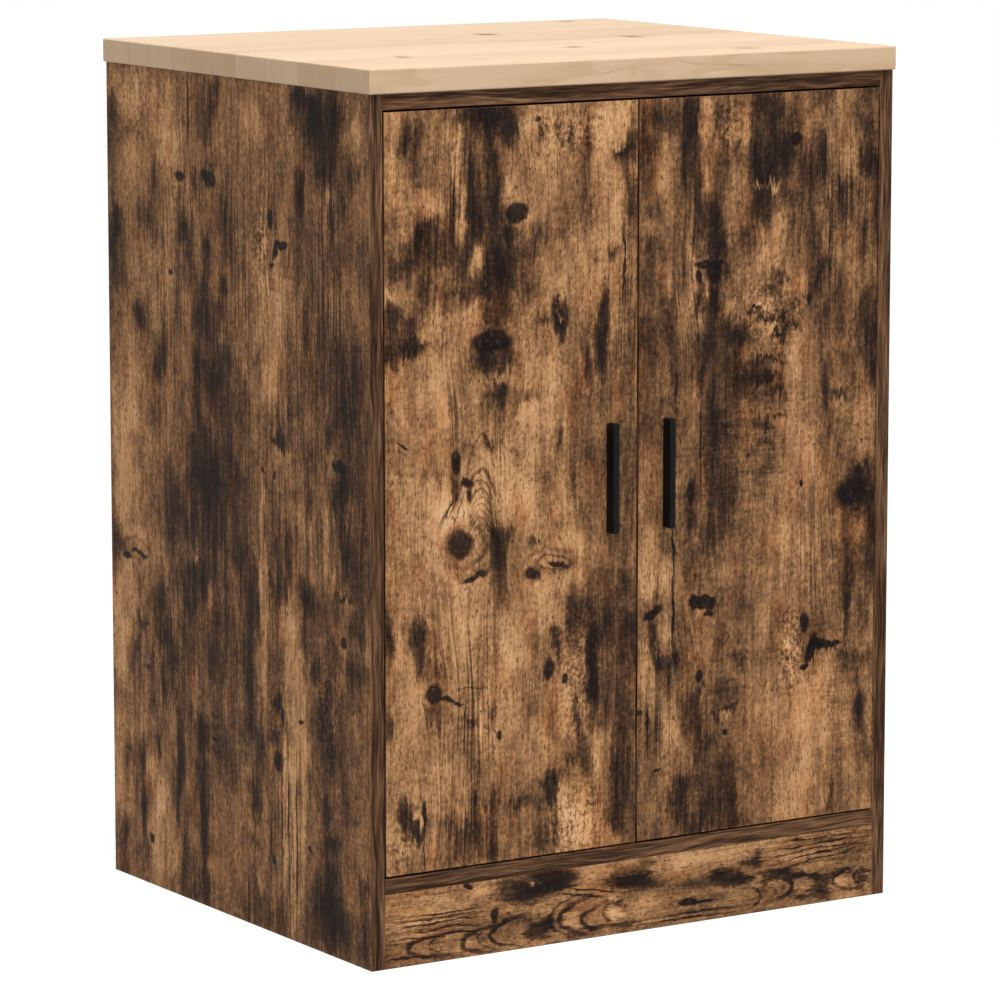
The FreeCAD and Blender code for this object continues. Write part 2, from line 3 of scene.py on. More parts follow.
import bpy
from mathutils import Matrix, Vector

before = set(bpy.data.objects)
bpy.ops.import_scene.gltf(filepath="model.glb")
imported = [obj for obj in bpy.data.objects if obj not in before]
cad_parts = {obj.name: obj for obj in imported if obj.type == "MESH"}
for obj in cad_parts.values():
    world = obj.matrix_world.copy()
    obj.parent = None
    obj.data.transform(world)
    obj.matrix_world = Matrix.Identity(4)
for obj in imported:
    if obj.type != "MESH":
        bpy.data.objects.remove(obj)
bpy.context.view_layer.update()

scene = bpy.context.scene
bpy.ops.object.select_all(action="DESELECT")
perMetre = 1000  # the looks give the places of marks in millimetres
anyDepth = 50.0  # metres, so that a bend doesn't fade with depth
faceTurn = (0.6, 0.8)  # a face looks along an axis once its normal passes these
cloudLimits = (0.3, 0.7)  # most of a cloud lies between these
surfaceGives = {"Color": "Color", "Roughness": "Float", "Height": "Float"}


# small tools for node work

def tone(red, green, blue):  # a colour as a picture editor shows it, made linear
    return tuple(((c / 255 + 0.055) / 1.055) ** 2.4 for c in (red, green, blue)) + (1.0,)


def feed(node, inputs):  # a socket is linked, anything else is set on the input itself
    for key, value in inputs.items():
        if isinstance(value, bpy.types.NodeSocket):
            node.id_data.links.new(value, node.inputs[key])
        else:
            node.inputs[key].default_value = value


def startNode(tree, kind, inputs, **settings):
    node = tree.nodes.new("ShaderNode" + kind)
    for name, value in settings.items():
        setattr(node, name, value)
    feed(node, inputs)
    return node


def addNode(kind, inputs, **settings):  # in the tree that its inputs come from
    tree = next(value.id_data for value in inputs.values() if isinstance(value, bpy.types.NodeSocket))
    return startNode(tree, kind, inputs, **settings)


def addGroup(group, inputs):
    return addNode("Group", inputs, node_tree=group).outputs


def startGroup(name, takes, gives):
    tree = bpy.data.node_groups.new(name, "ShaderNodeTree")
    for way, sockets in (("INPUT", takes), ("OUTPUT", gives)):
        for label, kind in sockets.items():
            tree.interface.new_socket(name=label, in_out=way, socket_type="NodeSocket" + kind)
    return tree, tree.nodes.new("NodeGroupInput").outputs, tree.nodes.new("NodeGroupOutput")


def calc(operation, first, second=0.0, clamp=False):
    return addNode("Math", {0: first, 1: second}, operation=operation, use_clamp=clamp).outputs[0]


def plus(first, *others):
    for other in others:
        first = calc("ADD", first, other)
    return first


def times(first, second):
    return calc("MULTIPLY", first, second)


def centred(value, amount):  # a 0 to 1 value as a swing about nothing
    return addNode("Math", {0: value, 1: amount, 2: -0.5 * amount}, operation="MULTIPLY_ADD").outputs[0]


def roused(value, mark, rest, more):  # a little of a value everywhere, and more where a mark lies
    return times(value, plus(times(mark, more), rest))


def vec(operation, first, second=(0.0, 0.0, 0.0)):
    return addNode("VectorMath", {0: first, 1: second}, operation=operation).outputs[0]


def split(vector):
    return addNode("SeparateXYZ", {0: vector}).outputs


def joined(x, y, z):
    return addNode("CombineXYZ", {0: x, 1: y, 2: z}).outputs[0]


def cloud(vector, size, detail=2.0, rough=0.5, output="Fac"):  # lumps of about that size in metres
    scaled = vec("DIVIDE", vector, size)
    inputs = {"Vector": scaled, "Scale": 1.0, "Detail": detail, "Roughness": rough}
    return addNode("TexNoise", inputs).outputs[output]


def rise(value, low, high, start=0.0, end=1.0):
    inputs = {"Value": value, "From Min": low, "From Max": high, "To Min": start, "To Max": end}
    return addNode("MapRange", inputs, interpolation_type="SMOOTHSTEP").outputs[0]


def layer(share, under, over, way="MIX"):
    inputs = {0: share, 6: under, 7: over}
    return addNode("Mix", inputs, data_type="RGBA", blend_type=way).outputs[2]


def blendValue(share, under, over):
    return addNode("Mix", {0: share, 2: under, 3: over}, data_type="FLOAT").outputs[0]


def ramp(value, stops):
    node = addNode("ValToRGB", {0: value})
    marks = node.color_ramp.elements
    while len(marks) < len(stops):
        marks.new(0.5)
    for mark, (place, colour) in zip(marks, stops):
        mark.position, mark.color = place, tone(*colour)
    return node.outputs[0]


def emptyTree(owner):
    owner.use_nodes = True
    owner.node_tree.nodes.clear()
    return owner.node_tree


def newFinish(name):
    finish = bpy.data.materials.new(name)
    tree = emptyTree(finish)
    skin = startNode(tree, "BsdfPrincipled", {})
    addNode("OutputMaterial", {"Surface": skin.outputs[0]})
    return finish, tree, skin


def objectPlace(tree):
    return startNode(tree, "TexCoord", {}).outputs


def relief(height, depth, strength=0.6):
    return addNode("Bump", {"Height": height, "Strength": strength, "Distance": depth}).outputs[0]


def dress(finish, *names):
    for name in names:
        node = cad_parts[name]
        if not node.material_slots:
            node.data.materials.append(finish)
        for slot in node.material_slots:
            slot.material = finish


# marks in the board print, all in one plane: across the grain, depth, along the grain
# the depth carries the total, so that each mark waits for the one before it

def addTotal(given, out, value):
    inputs = {0: value, 1: given["Add"], 2: given["Vector"]}
    feed(out, {0: addNode("VectorMath", inputs, operation="MULTIPLY_ADD").outputs[0]})


ringLook = {"place": 0.25, "limits": (0.2, 0.03)}  # as shares of the way in


def makeMark(name, leaning=False, ring=False):
    takes = {"Vector": "Vector", "Grow": "Vector", "Shift": "Vector", "Add": "Vector", "Lean": "Float"}
    tree, given, out = startGroup(name, takes, {"Vector": "Vector"})
    vector = given["Vector"]
    if leaning:
        inputs = {"Vector": vector, "Angle": given["Lean"]}
        vector = addNode("VectorRotate", inputs, rotation_type="Y_AXIS").outputs[0]
    local = addNode("VectorMath", {0: vector, 1: given["Grow"], 2: given["Shift"]}, operation="MULTIPLY_ADD")
    near = addNode("TexGradient", {"Vector": local.outputs[0]}, gradient_type="SPHERICAL").outputs["Fac"]
    if ring:  # only the outline, as round a knot
        near = rise(calc("ABSOLUTE", calc("SUBTRACT", near, ringLook["place"])), *ringLook["limits"])
    addTotal(given, out, near)
    return tree


arcLook = {"edge": (1.0, 0.2), "ends": (1.0, 0.5)}  # shares of the thickness and of the half span


def makeArc(look):  # one bowed grain line
    takes = {"Vector": "Vector", "Centre": "Vector", "Curve": "Float", "Span": "Float", "Thick": "Float",
             "Add": "Vector"}
    tree, given, out = startGroup("grainArc", takes, {"Vector": "Vector"})
    side, depth, up = split(vec("SUBTRACT", given["Vector"], given["Centre"]))
    steep = times(times(side, given["Curve"]), 2.0)
    stretch = calc("SQRT", plus(times(steep, steep), 1.0))
    bow = plus(up, times(times(side, side), given["Curve"]))
    away = calc("DIVIDE", calc("ABSOLUTE", bow), times(stretch, given["Thick"]))
    ends = calc("DIVIDE", calc("ABSOLUTE", side), given["Span"])
    addTotal(given, out, times(rise(away, *look["edge"]), rise(ends, *look["ends"])))
    return tree


def makeBend():  # grain that runs round a knot
    takes = {"Before": "Float", "Vector": "Vector", "Centre": "Vector", "Reach": "Vector", "Push": "Float"}
    tree, given, out = startGroup("grainBend", takes, {"After": "Float"})
    offset = vec("SUBTRACT", given["Vector"], given["Centre"])
    shaped = vec("DIVIDE", offset, given["Reach"])
    square = addNode("VectorMath", {0: shaped, 1: shaped}, operation="DOT_PRODUCT").outputs["Value"]
    fade = calc("EXPONENT", times(square, -1.0))
    push = times(times(split(offset)[0], fade), given["Push"])
    feed(out, {"After": calc("SUBTRACT", given["Before"], push)})
    return tree


raggedLook = {
    "lumps": ((0.012, 0.02, 0.030), 4, 0.62), "fibres": ((0.0026, 0.02, 0.026), 1, 0.6),
    "pulls": {"Torn": ((0.020, 0.0, 0.040), (0.004, 0.0, 0.020)),  # by the lumps, by the fibres
              "Firm": ((0.011, 0.0, 0.014), (0.0015, 0.0, 0.0016))},
}


def makeRagged(look):  # places pulled about, so that a mark's edge is broken
    tree, given, out = startGroup("raggedPlaces", {"Vector": "Vector"}, {"Torn": "Vector", "Firm": "Vector"})
    half = (0.5, 0.5, 0.5)
    lumps = vec("SUBTRACT", cloud(given[0], *look["lumps"], "Color"), half)
    fibres = vec("SUBTRACT", cloud(given[0], *look["fibres"], "Color"), half)
    for name, (byLumps, byFibres) in look["pulls"].items():
        pulled = vec("ADD", vec("MULTIPLY", lumps, byLumps), vec("MULTIPLY", fibres, byFibres))
        feed(out, {name: vec("ADD", given[0], pulled)})
    return tree


smokedOakLook = {
    # lumps of the print: size across, deep and along in metres, detail, roughness
    "sway": ((0.12, 0.03, 0.45), 2), "mottle": ((0.040, 0.03, 0.070), 6, 0.74),
    "streak": ((0.009, 0.02, 0.12), 3, 0.6), "fine": ((0.0024, 0.01, 0.055), 2, 0.6),
    "grit": ((0.0042, 0.01, 0.0050), 2, 0.7), "saw": ((0.03, 0.02, 0.0026), 2, 0.6),
    "wildMark": ((0.06, 0.03, 0.17), 3, 0.6), "furrow": ((0.0032, 0.01, 0.15), 1),
    # how much of each: first at rest and more under a mark, then everywhere
    "combing": (0.14, 0.7), "furrowing": (0.06, 0.26), "pecking": (0.65, 1.4), "sawing": (0.06, 0.7),
    "swayWidth": 0.03, "mottling": 1.3, "streaking": 0.42, "burning": -0.64, "burnSwing": 0.5, "paling": 0.30,
    "lining": -0.30, "softLimit": (0.43, 0.5), "wildLimits": (0.5, 0.72), "furrowLimits": (0.50, 0.62),
    "heartShare": 0.95, "heartGrit": 1.2, "knotBreaks": (0.3, 0.8, 0.6), "rough": 0.55, "fineRough": 0.12,
    "burnRough": 0.08, "fleckDent": -0.6, "poreDent": -0.8,
    "woodTones": [(0.0, (33, 26, 24)), (0.15, (48, 36, 30)), (0.3, (73, 52, 38)), (0.45, (104, 75, 52)),
                  (0.6, (140, 101, 68)), (0.75, (172, 127, 86)), (0.9, (206, 156, 109)), (1.0, (230, 184, 136))],
    "heartTones": [(0.35, (19, 16, 17)), (0.62, (36, 28, 26)), (0.9, (88, 64, 48))],
    "stains": {  # lumps, where and how much they show, colour, way of mixing
        "olive": (((0.03, 0.02, 0.1), 2), (0.52, 0.75, 0.0, 0.35), (150, 124, 84), "SOFT_LIGHT"),
        "rosy": (((0.025, 0.03, 0.07), 2), (0.52, 0.72, 0.0, 0.4), (138, 98, 94), "SOFT_LIGHT"),
        "flecks": (((0.0020, 0.01, 0.0075), 1), (0.61, 0.70, 0.0, 0.75), (62, 42, 31), "MIX"),
        "pores": (((0.0017, 0.01, 0.06), 1), (0.63, 0.72, 0.0, 0.48), (66, 44, 32), "MIX")},
}


def makeSmokedOak(look):
    takes = {"Vector": "Vector"}
    for name in ("Bend", "Burn", "Knot", "Lines", "Combed", "Sawn", "Pecked", "Tone", "Wild"):
        takes[name] = "Float"
    tree, given, out = startGroup("smokedOakGrain", takes, surfaceGives)
    vector = given["Vector"]
    across, depth, along = split(vector)
    sway = centred(cloud(vector, *look["sway"]), look["swayWidth"])
    place = joined(plus(across, sway, given["Bend"]), depth, along)
    mottle, grit, saw = (cloud(vector, *look[name]) for name in ("mottle", "grit", "saw"))
    streak, fine = (cloud(place, *look[name]) for name in ("streak", "fine"))
    wildMark = rise(cloud(place, *look["wildMark"]), *look["wildLimits"])
    furrow = rise(cloud(place, *look["furrow"]), *look["furrowLimits"])
    burn = plus(given["Burn"], times(wildMark, given["Wild"]))
    shade = calc("EXPONENT", times(calc("MAXIMUM", burn, 0.0), -1.0))
    dark = calc("SUBTRACT", 1.0, shade)  # patches that overlap deepen slowly
    pale = addNode("Clamp", {0: times(burn, -1.0), 1: 0.0, 2: 1.0}).outputs[0]
    depthOfBurn = plus(look["burning"], centred(fine, look["burnSwing"]), centred(streak, look["burnSwing"]))
    combing = roused(centred(fine, 1.0), given["Combed"], *look["combing"])
    combing = calc("SUBTRACT", combing, roused(furrow, given["Combed"], *look["furrowing"]))
    pecking = roused(centred(grit, 1.0), given["Pecked"], *look["pecking"])
    sawing = roused(centred(saw, 1.0), given["Sawn"], *look["sawing"])
    value = plus(given["Tone"], centred(mottle, look["mottling"]), pecking, centred(streak, look["streaking"]),
                 combing, sawing, times(dark, depthOfBurn), times(pale, look["paling"]),
                 times(given["Lines"], look["lining"]))
    start, slope = look["softLimit"]  # pale wood keeps its figure
    value = calc("MINIMUM", value, plus(start, times(value, slope)))
    wood = ramp(value, look["woodTones"])
    shows = {}
    for name, (lumps, limits, colour, way) in look["stains"].items():
        shows[name] = rise(cloud(place, *lumps), *limits)
        wood = layer(shows[name], wood, tone(*colour), way)
    heart = ramp(plus(centred(grit, look["heartGrit"]), mottle), look["heartTones"])
    least, byGrit, byStreak = look["knotBreaks"]  # ragged edge of a knot
    broken = plus(least, times(grit, byGrit), times(streak, byStreak))
    most = look["heartShare"]
    core = calc("MINIMUM", times(given["Knot"], broken), most)
    feed(out, {
        "Color": layer(rise(core, 0.0, most, 0.0, most), wood, heart),
        "Roughness": plus(look["rough"], centred(fine, look["fineRough"]), times(dark, look["burnRough"])),
        "Height": plus(fine, times(shows["flecks"], look["fleckDent"]), times(shows["pores"], look["poreDent"]))})
    return tree


edgeBandLook = {
    "sway": ((0.03, 0.02, 0.12), 2), "wide": ((0.007, 0.02, 0.10), 3, 0.6), "thin": ((0.0018, 0.01, 0.04), 2, 0.6),
    "slow": ((0.05, 0.05, 0.13), 2), "line": ((0.0030, 0.02, 0.09), 2), "swayWidth": 0.012,
    "lineLimits": (0.50, 0.58), "tone": 0.56, "wideSwing": 1.3, "thinSwing": 1.6, "slowSwing": 0.5, "lining": -0.26,
    "woodTones": [(0.0, (45, 30, 22)), (0.3, (70, 48, 34)), (0.55, (97, 69, 49)), (0.8, (126, 92, 66)),
                  (1.0, (150, 112, 82))],
}


def makeEdgeBand(look):
    tree, given, out = startGroup("edgeBandGrain", {"Vector": "Vector"}, {"Color": "Color", "Height": "Float"})
    across, depth, along = split(given[0])
    sway = centred(cloud(given[0], *look["sway"]), look["swayWidth"])
    place = joined(plus(across, sway), depth, along)
    wide, thin = (cloud(place, *look[name]) for name in ("wide", "thin"))
    slow = cloud(given[0], *look["slow"])
    line = rise(cloud(place, *look["line"]), *look["lineLimits"])
    value = plus(look["tone"], centred(wide, look["wideSwing"]), centred(thin, look["thinSwing"]),
                 centred(slow, look["slowSwing"]), times(line, look["lining"]))
    feed(out, {"Color": ramp(value, look["woodTones"]), "Height": thin})
    return tree


markGroup = makeMark("printMark")
leaningGroup = makeMark("leaningMark", leaning=True)
ringGroup = makeMark("knotRing", leaning=True, ring=True)
arcGroup = makeArc(arcLook)
bendGroup = makeBend()
raggedGroup = makeRagged(raggedLook)
oakGroup = makeSmokedOak(smokedOakLook)
bandGroup = makeEdgeBand(edgeBandLook)
print("board print groups made")

softMark = {"spread": 1.5, "weight": 1.45}  # a smoky patch
firmMark = {"spread": 1.3, "weight": 3.0}  # a knot or a crack
ringMark = {"spread": 1.33, "weight": 1.0}  # a line round a knot
boardSkin = {"specular": 0.05, "reliefDepth": 0.00025}


def layMarks(vector, marks, edge, ring=False):
    vector = vec("MULTIPLY", vector, (1.0, 0.0, 1.0))
    for strength, places in marks.items():
        for across, along, wide, tall, *lean in places:
            angle = math.radians(lean[0]) if lean else 0.0
            a = across * math.cos(angle) + along * math.sin(angle)
            b = along * math.cos(angle) - across * math.sin(angle)
            wide, tall = wide * edge["spread"], tall * edge["spread"]
            vector = addGroup(ringGroup if ring else leaningGroup if lean else markGroup, {
                "Vector": vector, "Grow": (perMetre / wide, 0.0, perMetre / tall),
                "Shift": (-a / wide, 0.0, -b / tall), "Add": (0.0, strength * edge["weight"], 0.0),
                "Lean": angle})[0]
    return vector


def markTotal(vector, marks, edge):
    return split(layMarks(vector, marks, edge))[1]


def boardFinish(name, look):
    finish, tree, skin = newFinish(name)
    place = objectPlace(tree)
    axes = split(place["Object"])
    order = ["XYZ".index(letter) for letter in look["axes"]]
    plain = [axes[axis] for axis in order]
    across, depth, along = plain
    # the far face shows the same print turned end for end
    turned = calc("GREATER_THAN", times(depth, look["outward"]), look["farPast"])
    keep = calc("SUBTRACT", 1.0, times(turned, 2.0))
    across = plus(times(across, keep), times(turned, 2 * look["middle"][0]))
    along = plus(times(along, keep), times(turned, 2 * look["middle"][1]))
    if look.get("upsideDown"):
        along = calc("SUBTRACT", 2 * look["middle"][1], along)
    vector = joined(across, depth, along)
    ragged = addGroup(raggedGroup, {"Vector": vector})
    bend = 0.0
    for a, b, wide, tall, push in look.get("bends", []):
        bend = addGroup(bendGroup, {
            "Before": bend, "Vector": vector, "Centre": (a / perMetre, 0.0, b / perMetre),
            "Reach": (wide / perMetre, anyDepth, tall / perMetre), "Push": push})[0]
    lines = layMarks(ragged["Firm"], look.get("rings", {}), ringMark, ring=True)
    for a, b, curve, span, thick, weight in look.get("arcs", []):
        lines = addGroup(arcGroup, {
            "Vector": lines, "Centre": (a / perMetre, 0.0, b / perMetre), "Curve": curve, "Span": span / perMetre,
            "Thick": thick / perMetre, "Add": (0.0, weight, 0.0)})[0]
    darker, paler = look.get("darker", 1.0), look.get("paler", 1.0)
    smoky = {strength * (darker if strength > 0 else paler): places
             for strength, places in look.get("scorches", {}).items()}
    inputs = {"Vector": vector, "Bend": bend, "Tone": look["tone"], "Wild": look["wild"],
              "Lines": split(lines)[1], "Burn": markTotal(ragged["Torn"], smoky, softMark),
              "Knot": markTotal(ragged["Firm"], look.get("knots", {}), firmMark)}
    for treatment in ("Combed", "Sawn", "Pecked"):
        inputs[treatment] = markTotal(vector, look.get(treatment.lower(), {}), softMark)
    oak = addGroup(oakGroup, inputs)
    # edge bands on the narrow faces, along the longer way
    facing = split(vec("ABSOLUTE", place["Normal"]))
    onEdge = rise(facing[order[1]], *faceTurn[::-1])
    onEnd = rise(facing[order[2]], *faceTurn)
    runs = joined(plain[1], plain[0], plain[2])
    ends = joined(plain[1], plain[2], plain[0])
    bandPlace = addNode("Mix", {0: onEnd, 4: runs, 5: ends}, data_type="VECTOR").outputs[1]
    band = addGroup(bandGroup, {"Vector": bandPlace})
    height = blendValue(onEdge, oak["Height"], band["Height"])
    feed(skin, {"Base Color": layer(onEdge, oak["Color"], band["Color"]), "Roughness": oak["Roughness"],
                "Specular IOR Level": boardSkin["specular"],
                "Normal": relief(height, boardSkin["reliefDepth"])})
    return finish


# the boards, with each mark where the photo shows one
# strength (below 0 is pale): across, along, half width, half length in mm, and lean in degrees
# an arc: across, along, curve, half span, thickness, strength
# a bend: across, along, half width, half length, push

leftDoorLook = {
    "axes": "XYZ", "outward": 1.0, "farPast": -0.2415, "middle": (-0.14175, 0.448), "tone": 0.71, "wild": 0.12,
    "darker": 1.15, "paler": 1.35,
    "scorches": {
        1.6: [(-89, 608, 7, 13)],
        1.5: [(-273, 613, 11, 15)],
        1.4: [(-265, 588, 24, 9)],
        1.3: [(-165, 572, 20, 15)],
        1.2: [(-275, 580, 10, 10), (-41, 590, 7, 24)],
        1.1: [(-15, 757, 13, 6), (-52, 270, 6, 26), (-20, 180, 9, 22)],
        1.0: [(-172, 803, 36, 9), (-163, 792, 20, 14), (-160, 650, 22, 17), (-250, 590, 10, 6), (-158, 385, 9, 22),
            (-256, 138, 9, 17)],
        0.95: [(-190, 637, 19, 8), (-97, 156, 8, 12)],
        0.9: [(-196, 665, 9, 18), (-158, 625, 14, 20), (-143, 690, 8, 10), (-6, 765, 7, 10), (-50, 245, 5, 16),
            (-45, 298, 8, 8), (-248, 125, 8, 8), (-187, 128, 9, 14)],
        0.85: [(-183, 725, 7, 28), (-8, 710, 8, 22), (-246, 312, 7, 20), (-95, 112, 4, 22)],
        0.8: [(-145, 782, 8, 14), (-260, 790, 5, 16), (-251, 762, 4, 20), (-187, 690, 9, 34), (-160, 690, 14, 40),
            (-240, 690, 10, 14), (-88, 590, 4, 12), (-27, 663, 6, 5), (-41, 560, 6, 16), (-280, 320, 6, 26),
            (-92, 292, 6, 6), (-186, 152, 4, 10), (-99, 142, 5, 8), (-278, 232, 4, 14)],
        0.75: [(-62, 190, 6, 20, 12)],
        0.7: [(-108, 783, 3, 11), (-236, 640, 10, 16), (-12, 738, 6, 16), (-160, 538, 12, 13),
            (-206, 448, 3.5, 16, 12), (-233, 245, 6, 8), (-95, 303, 6, 8), (-72, 230, 5, 12), (-68, 215, 6, 12)],
        0.6: [(-92, 780, 4, 14), (-76, 775, 4, 12), (-262, 670, 16, 13), (-105, 607, 6, 3), (-40, 625, 5, 20),
            (-57, 555, 5, 13), (-8, 785, 7, 20), (-152, 544, 8, 5), (-165, 490, 12, 5, -14), (-118, 394, 8, 5),
            (-76, 318, 10, 12), (-20, 207, 6, 20), (-22, 140, 10, 30), (-262, 150, 6, 14), (-190, 105, 14, 16),
            (-104, 158, 8, 5), (-200, 632, 18, 26)],
        0.55: [(-215, 668, 19, 12), (-80, 180, 10, 5)],
        0.5: [(-168, 768, 7, 30), (-60, 766, 7, 24), (-261, 772, 8, 13), (-160, 600, 10, 20), (-145, 665, 22, 13),
            (-238, 668, 14, 38), (-253, 607, 8, 8), (-58, 575, 6, 30), (-125, 535, 14, 7), (-241, 463, 6, 9),
            (-226, 463, 5, 12), (-158, 352, 9, 20), (-88, 490, 2.5, 12), (-35, 310, 34, 19), (-163, 237, 5, 8),
            (-170, 222, 8, 3), (-30, 290, 25, 60), (-25, 120, 8, 16), (-207, 108, 4, 22), (-110, 108, 10, 14),
            (-158, 745, 10, 20), (-262, 612, 24, 14), (-14, 550, 14, 30), (-78, 294, 16, 14), (-58, 135, 14, 20)],
        0.45: [(-270, 655, 13, 12), (-30, 335, 36, 22), (-188, 228, 10, 4), (-10, 300, 14, 60), (-165, 110, 10, 18),
            (-133, 142, 20, 8), (-12, 440, 18, 60), (-220, 590, 16, 14)],
        0.4: [(-130, 797, 9, 9), (-245, 783, 5, 15), (-168, 722, 10, 20), (-225, 690, 21, 10), (-115, 600, 3, 18),
            (-150, 400, 6, 10), (-70, 335, 13, 20), (-10, 340, 12, 12), (-245, 290, 5, 14), (-12, 160, 12, 60),
            (-240, 755, 14, 30), (-18, 240, 18, 50), (-44, 525, 12, 24), (-234, 280, 16, 14), (-74, 100, 16, 12),
            (-275, 700, 10, 16), (-44, 215, 12, 16)],
        0.35: [(-75, 715, 17, 27), (-228, 236, 14, 13), (-85, 195, 8, 10), (-165, 150, 13, 8), (-124, 634, 14, 16)],
        0.3: [(-190, 760, 20, 36), (-130, 675, 25, 17), (-10, 620, 8, 40), (-212, 130, 10, 14), (-215, 715, 14, 20),
            (-112, 155, 14, 20), (-48, 160, 14, 30), (-79, 455, 12, 20)],
        0.22: [(-50, 710, 20, 30)],
        0.2: [(-108, 685, 30, 10), (-85, 700, 20, 13)],
        0.14: [(-60, 500, 40, 60)],
        -0.15: [(-235, 470, 18, 40), (-110, 570, 40, 30), (-100, 508, 35, 26)],
        -0.2: [(-245, 240, 22, 32), (-30, 690, 22, 45), (-70, 280, 10, 30), (-148, 300, 20, 40), (-28, 690, 20, 50),
            (-230, 380, 24, 30)],
        -0.25: [(-205, 320, 30, 50), (-238, 545, 35, 30), (-224, 500, 14, 16)],
        -0.3: [(-215, 602, 32, 22), (-150, 740, 8, 22), (-235, 165, 30, 20), (-128, 800, 28, 12), (-110, 335, 24, 24),
            (-228, 185, 36, 20), (-88, 185, 14, 14), (-70, 350, 16, 14)],
        -0.35: [(-198, 425, 24, 20), (-130, 440, 17, 32), (-165, 462, 25, 40), (-148, 455, 26, 34),
            (-140, 112, 18, 14), (-165, 552, 26, 12), (-15, 325, 14, 16)],
        -0.4: [(-187, 619, 10, 15), (-235, 718, 18, 13), (-45, 175, 6, 30), (-218, 425, 40, 40), (-84, 220, 18, 40),
            (-110, 415, 16, 20), (-128, 785, 16, 16), (-14, 335, 20, 22)],
        -0.5: [(-199, 718, 4, 36), (-78, 390, 15, 15), (-268, 318, 8, 40), (-277, 735, 4, 36)],
        -0.6: [(-204, 765, 4, 38), (-148, 288, 6, 34)],
        -0.7: [(-70, 124, 25, 27), (-178, 225, 3, 22)],
        -0.75: [(-180, 664, 10, 13)],
        -0.9: [(-28, 786, 22, 24)],
        -1.3: [(-246, 141, 4, 7)],
        -1.5: [(-90, 609, 2, 4)]},
    "knots": {
        1.0: [(-137, 708, 11, 9), (-200, 398, 12, 12)],
        0.9: [(-165, 588, 22, 10), (-204, 477, 6, 13)],
        0.8: [(-229, 258, 9, 9), (-158, 211, 3, 5), (-101, 270, 6, 10), (-83, 257, 3.5, 5)],
        0.7: [(-183, 366, 15, 3, 12), (-120, 363, 9, 7), (-240, 145, 3, 12)],
        0.6: [(-90, 368, 13, 3, -12), (-193, 455, 8, 5), (-191, 443, 3.5, 7), (-263, 496, 8, 1.2, -25),
            (-213, 252, 9, 2.4, -28), (-203, 246, 5, 2), (-113, 795, 3, 3)],
        0.5: [(-241, 108, 1.3, 22), (-17, 655, 1.3, 50)],
        0.4: [(-196, 225, 1.3, 38)],
        0.35: [(-206, 440, 1.0, 24, -25), (-212, 434, 1.0, 24, -28)],
        0.3: [(-190, 260, 22, 1, -6), (-201, 436, 1.0, 22, -22), (-217, 428, 1.0, 20, -30), (-160, 415, 1.0, 30, 6)]},
    "rings": {
        0.9: [(-96, 371, 20, 7, -8)],
        0.8: [(-200, 398, 13, 13), (-194, 396, 21, 19)],
        0.6: [(-190, 394, 29, 27)],
        0.5: [(-98, 373, 27, 12, -8)]},
    "arcs": [(-177, 502, 150.0, 16, 2.0, 0.9), (-177, 494, 140.0, 18, 1.5, 0.5), (-178, 468, 105.0, 19, 2.6, 1.1),
        (-179, 459, 110.0, 18, 1.8, 0.8), (-179, 450, 120.0, 17, 2.4, 1.0), (-178, 442, 115.0, 18, 1.9, 0.9),
        (-178, 435, 105.0, 19, 1.9, 0.9), (-178, 428, 95.0, 19, 1.7, 0.8), (-178, 421, 85.0, 19, 1.6, 0.7),
        (-177, 414, 75.0, 18, 1.5, 0.6), (-176, 407, 70.0, 17, 1.5, 0.5)],
    "bends": [(-137, 705, 24, 40, 0.7), (-200, 398, 26, 46, 0.8), (-166, 580, 36, 44, 0.6), (-89, 608, 16, 40, 0.6),
        (-105, 372, 34, 34, 0.7), (-228, 258, 24, 40, 0.6), (-250, 138, 22, 44, 0.6)],
    "combed": {
        0.7: [(-185, 130, 45, 60), (-160, 460, 14, 50)],
        0.6: [(-208, 740, 22, 60), (-190, 240, 40, 60)],
        0.5: [(-205, 520, 12, 50)],
        0.4: [(-200, 320, 40, 50), (-20, 620, 20, 80)]},
    "sawn": {
        0.4: [(-60, 120, 40, 30)],
        0.2: [(-110, 440, 30, 30)]},
    "pecked": {
        0.7: [(-70, 122, 26, 32)],
        0.5: [(-75, 780, 40, 20), (-70, 260, 20, 60), (-68, 112, 24, 20), (-268, 110, 14, 24)]},
}

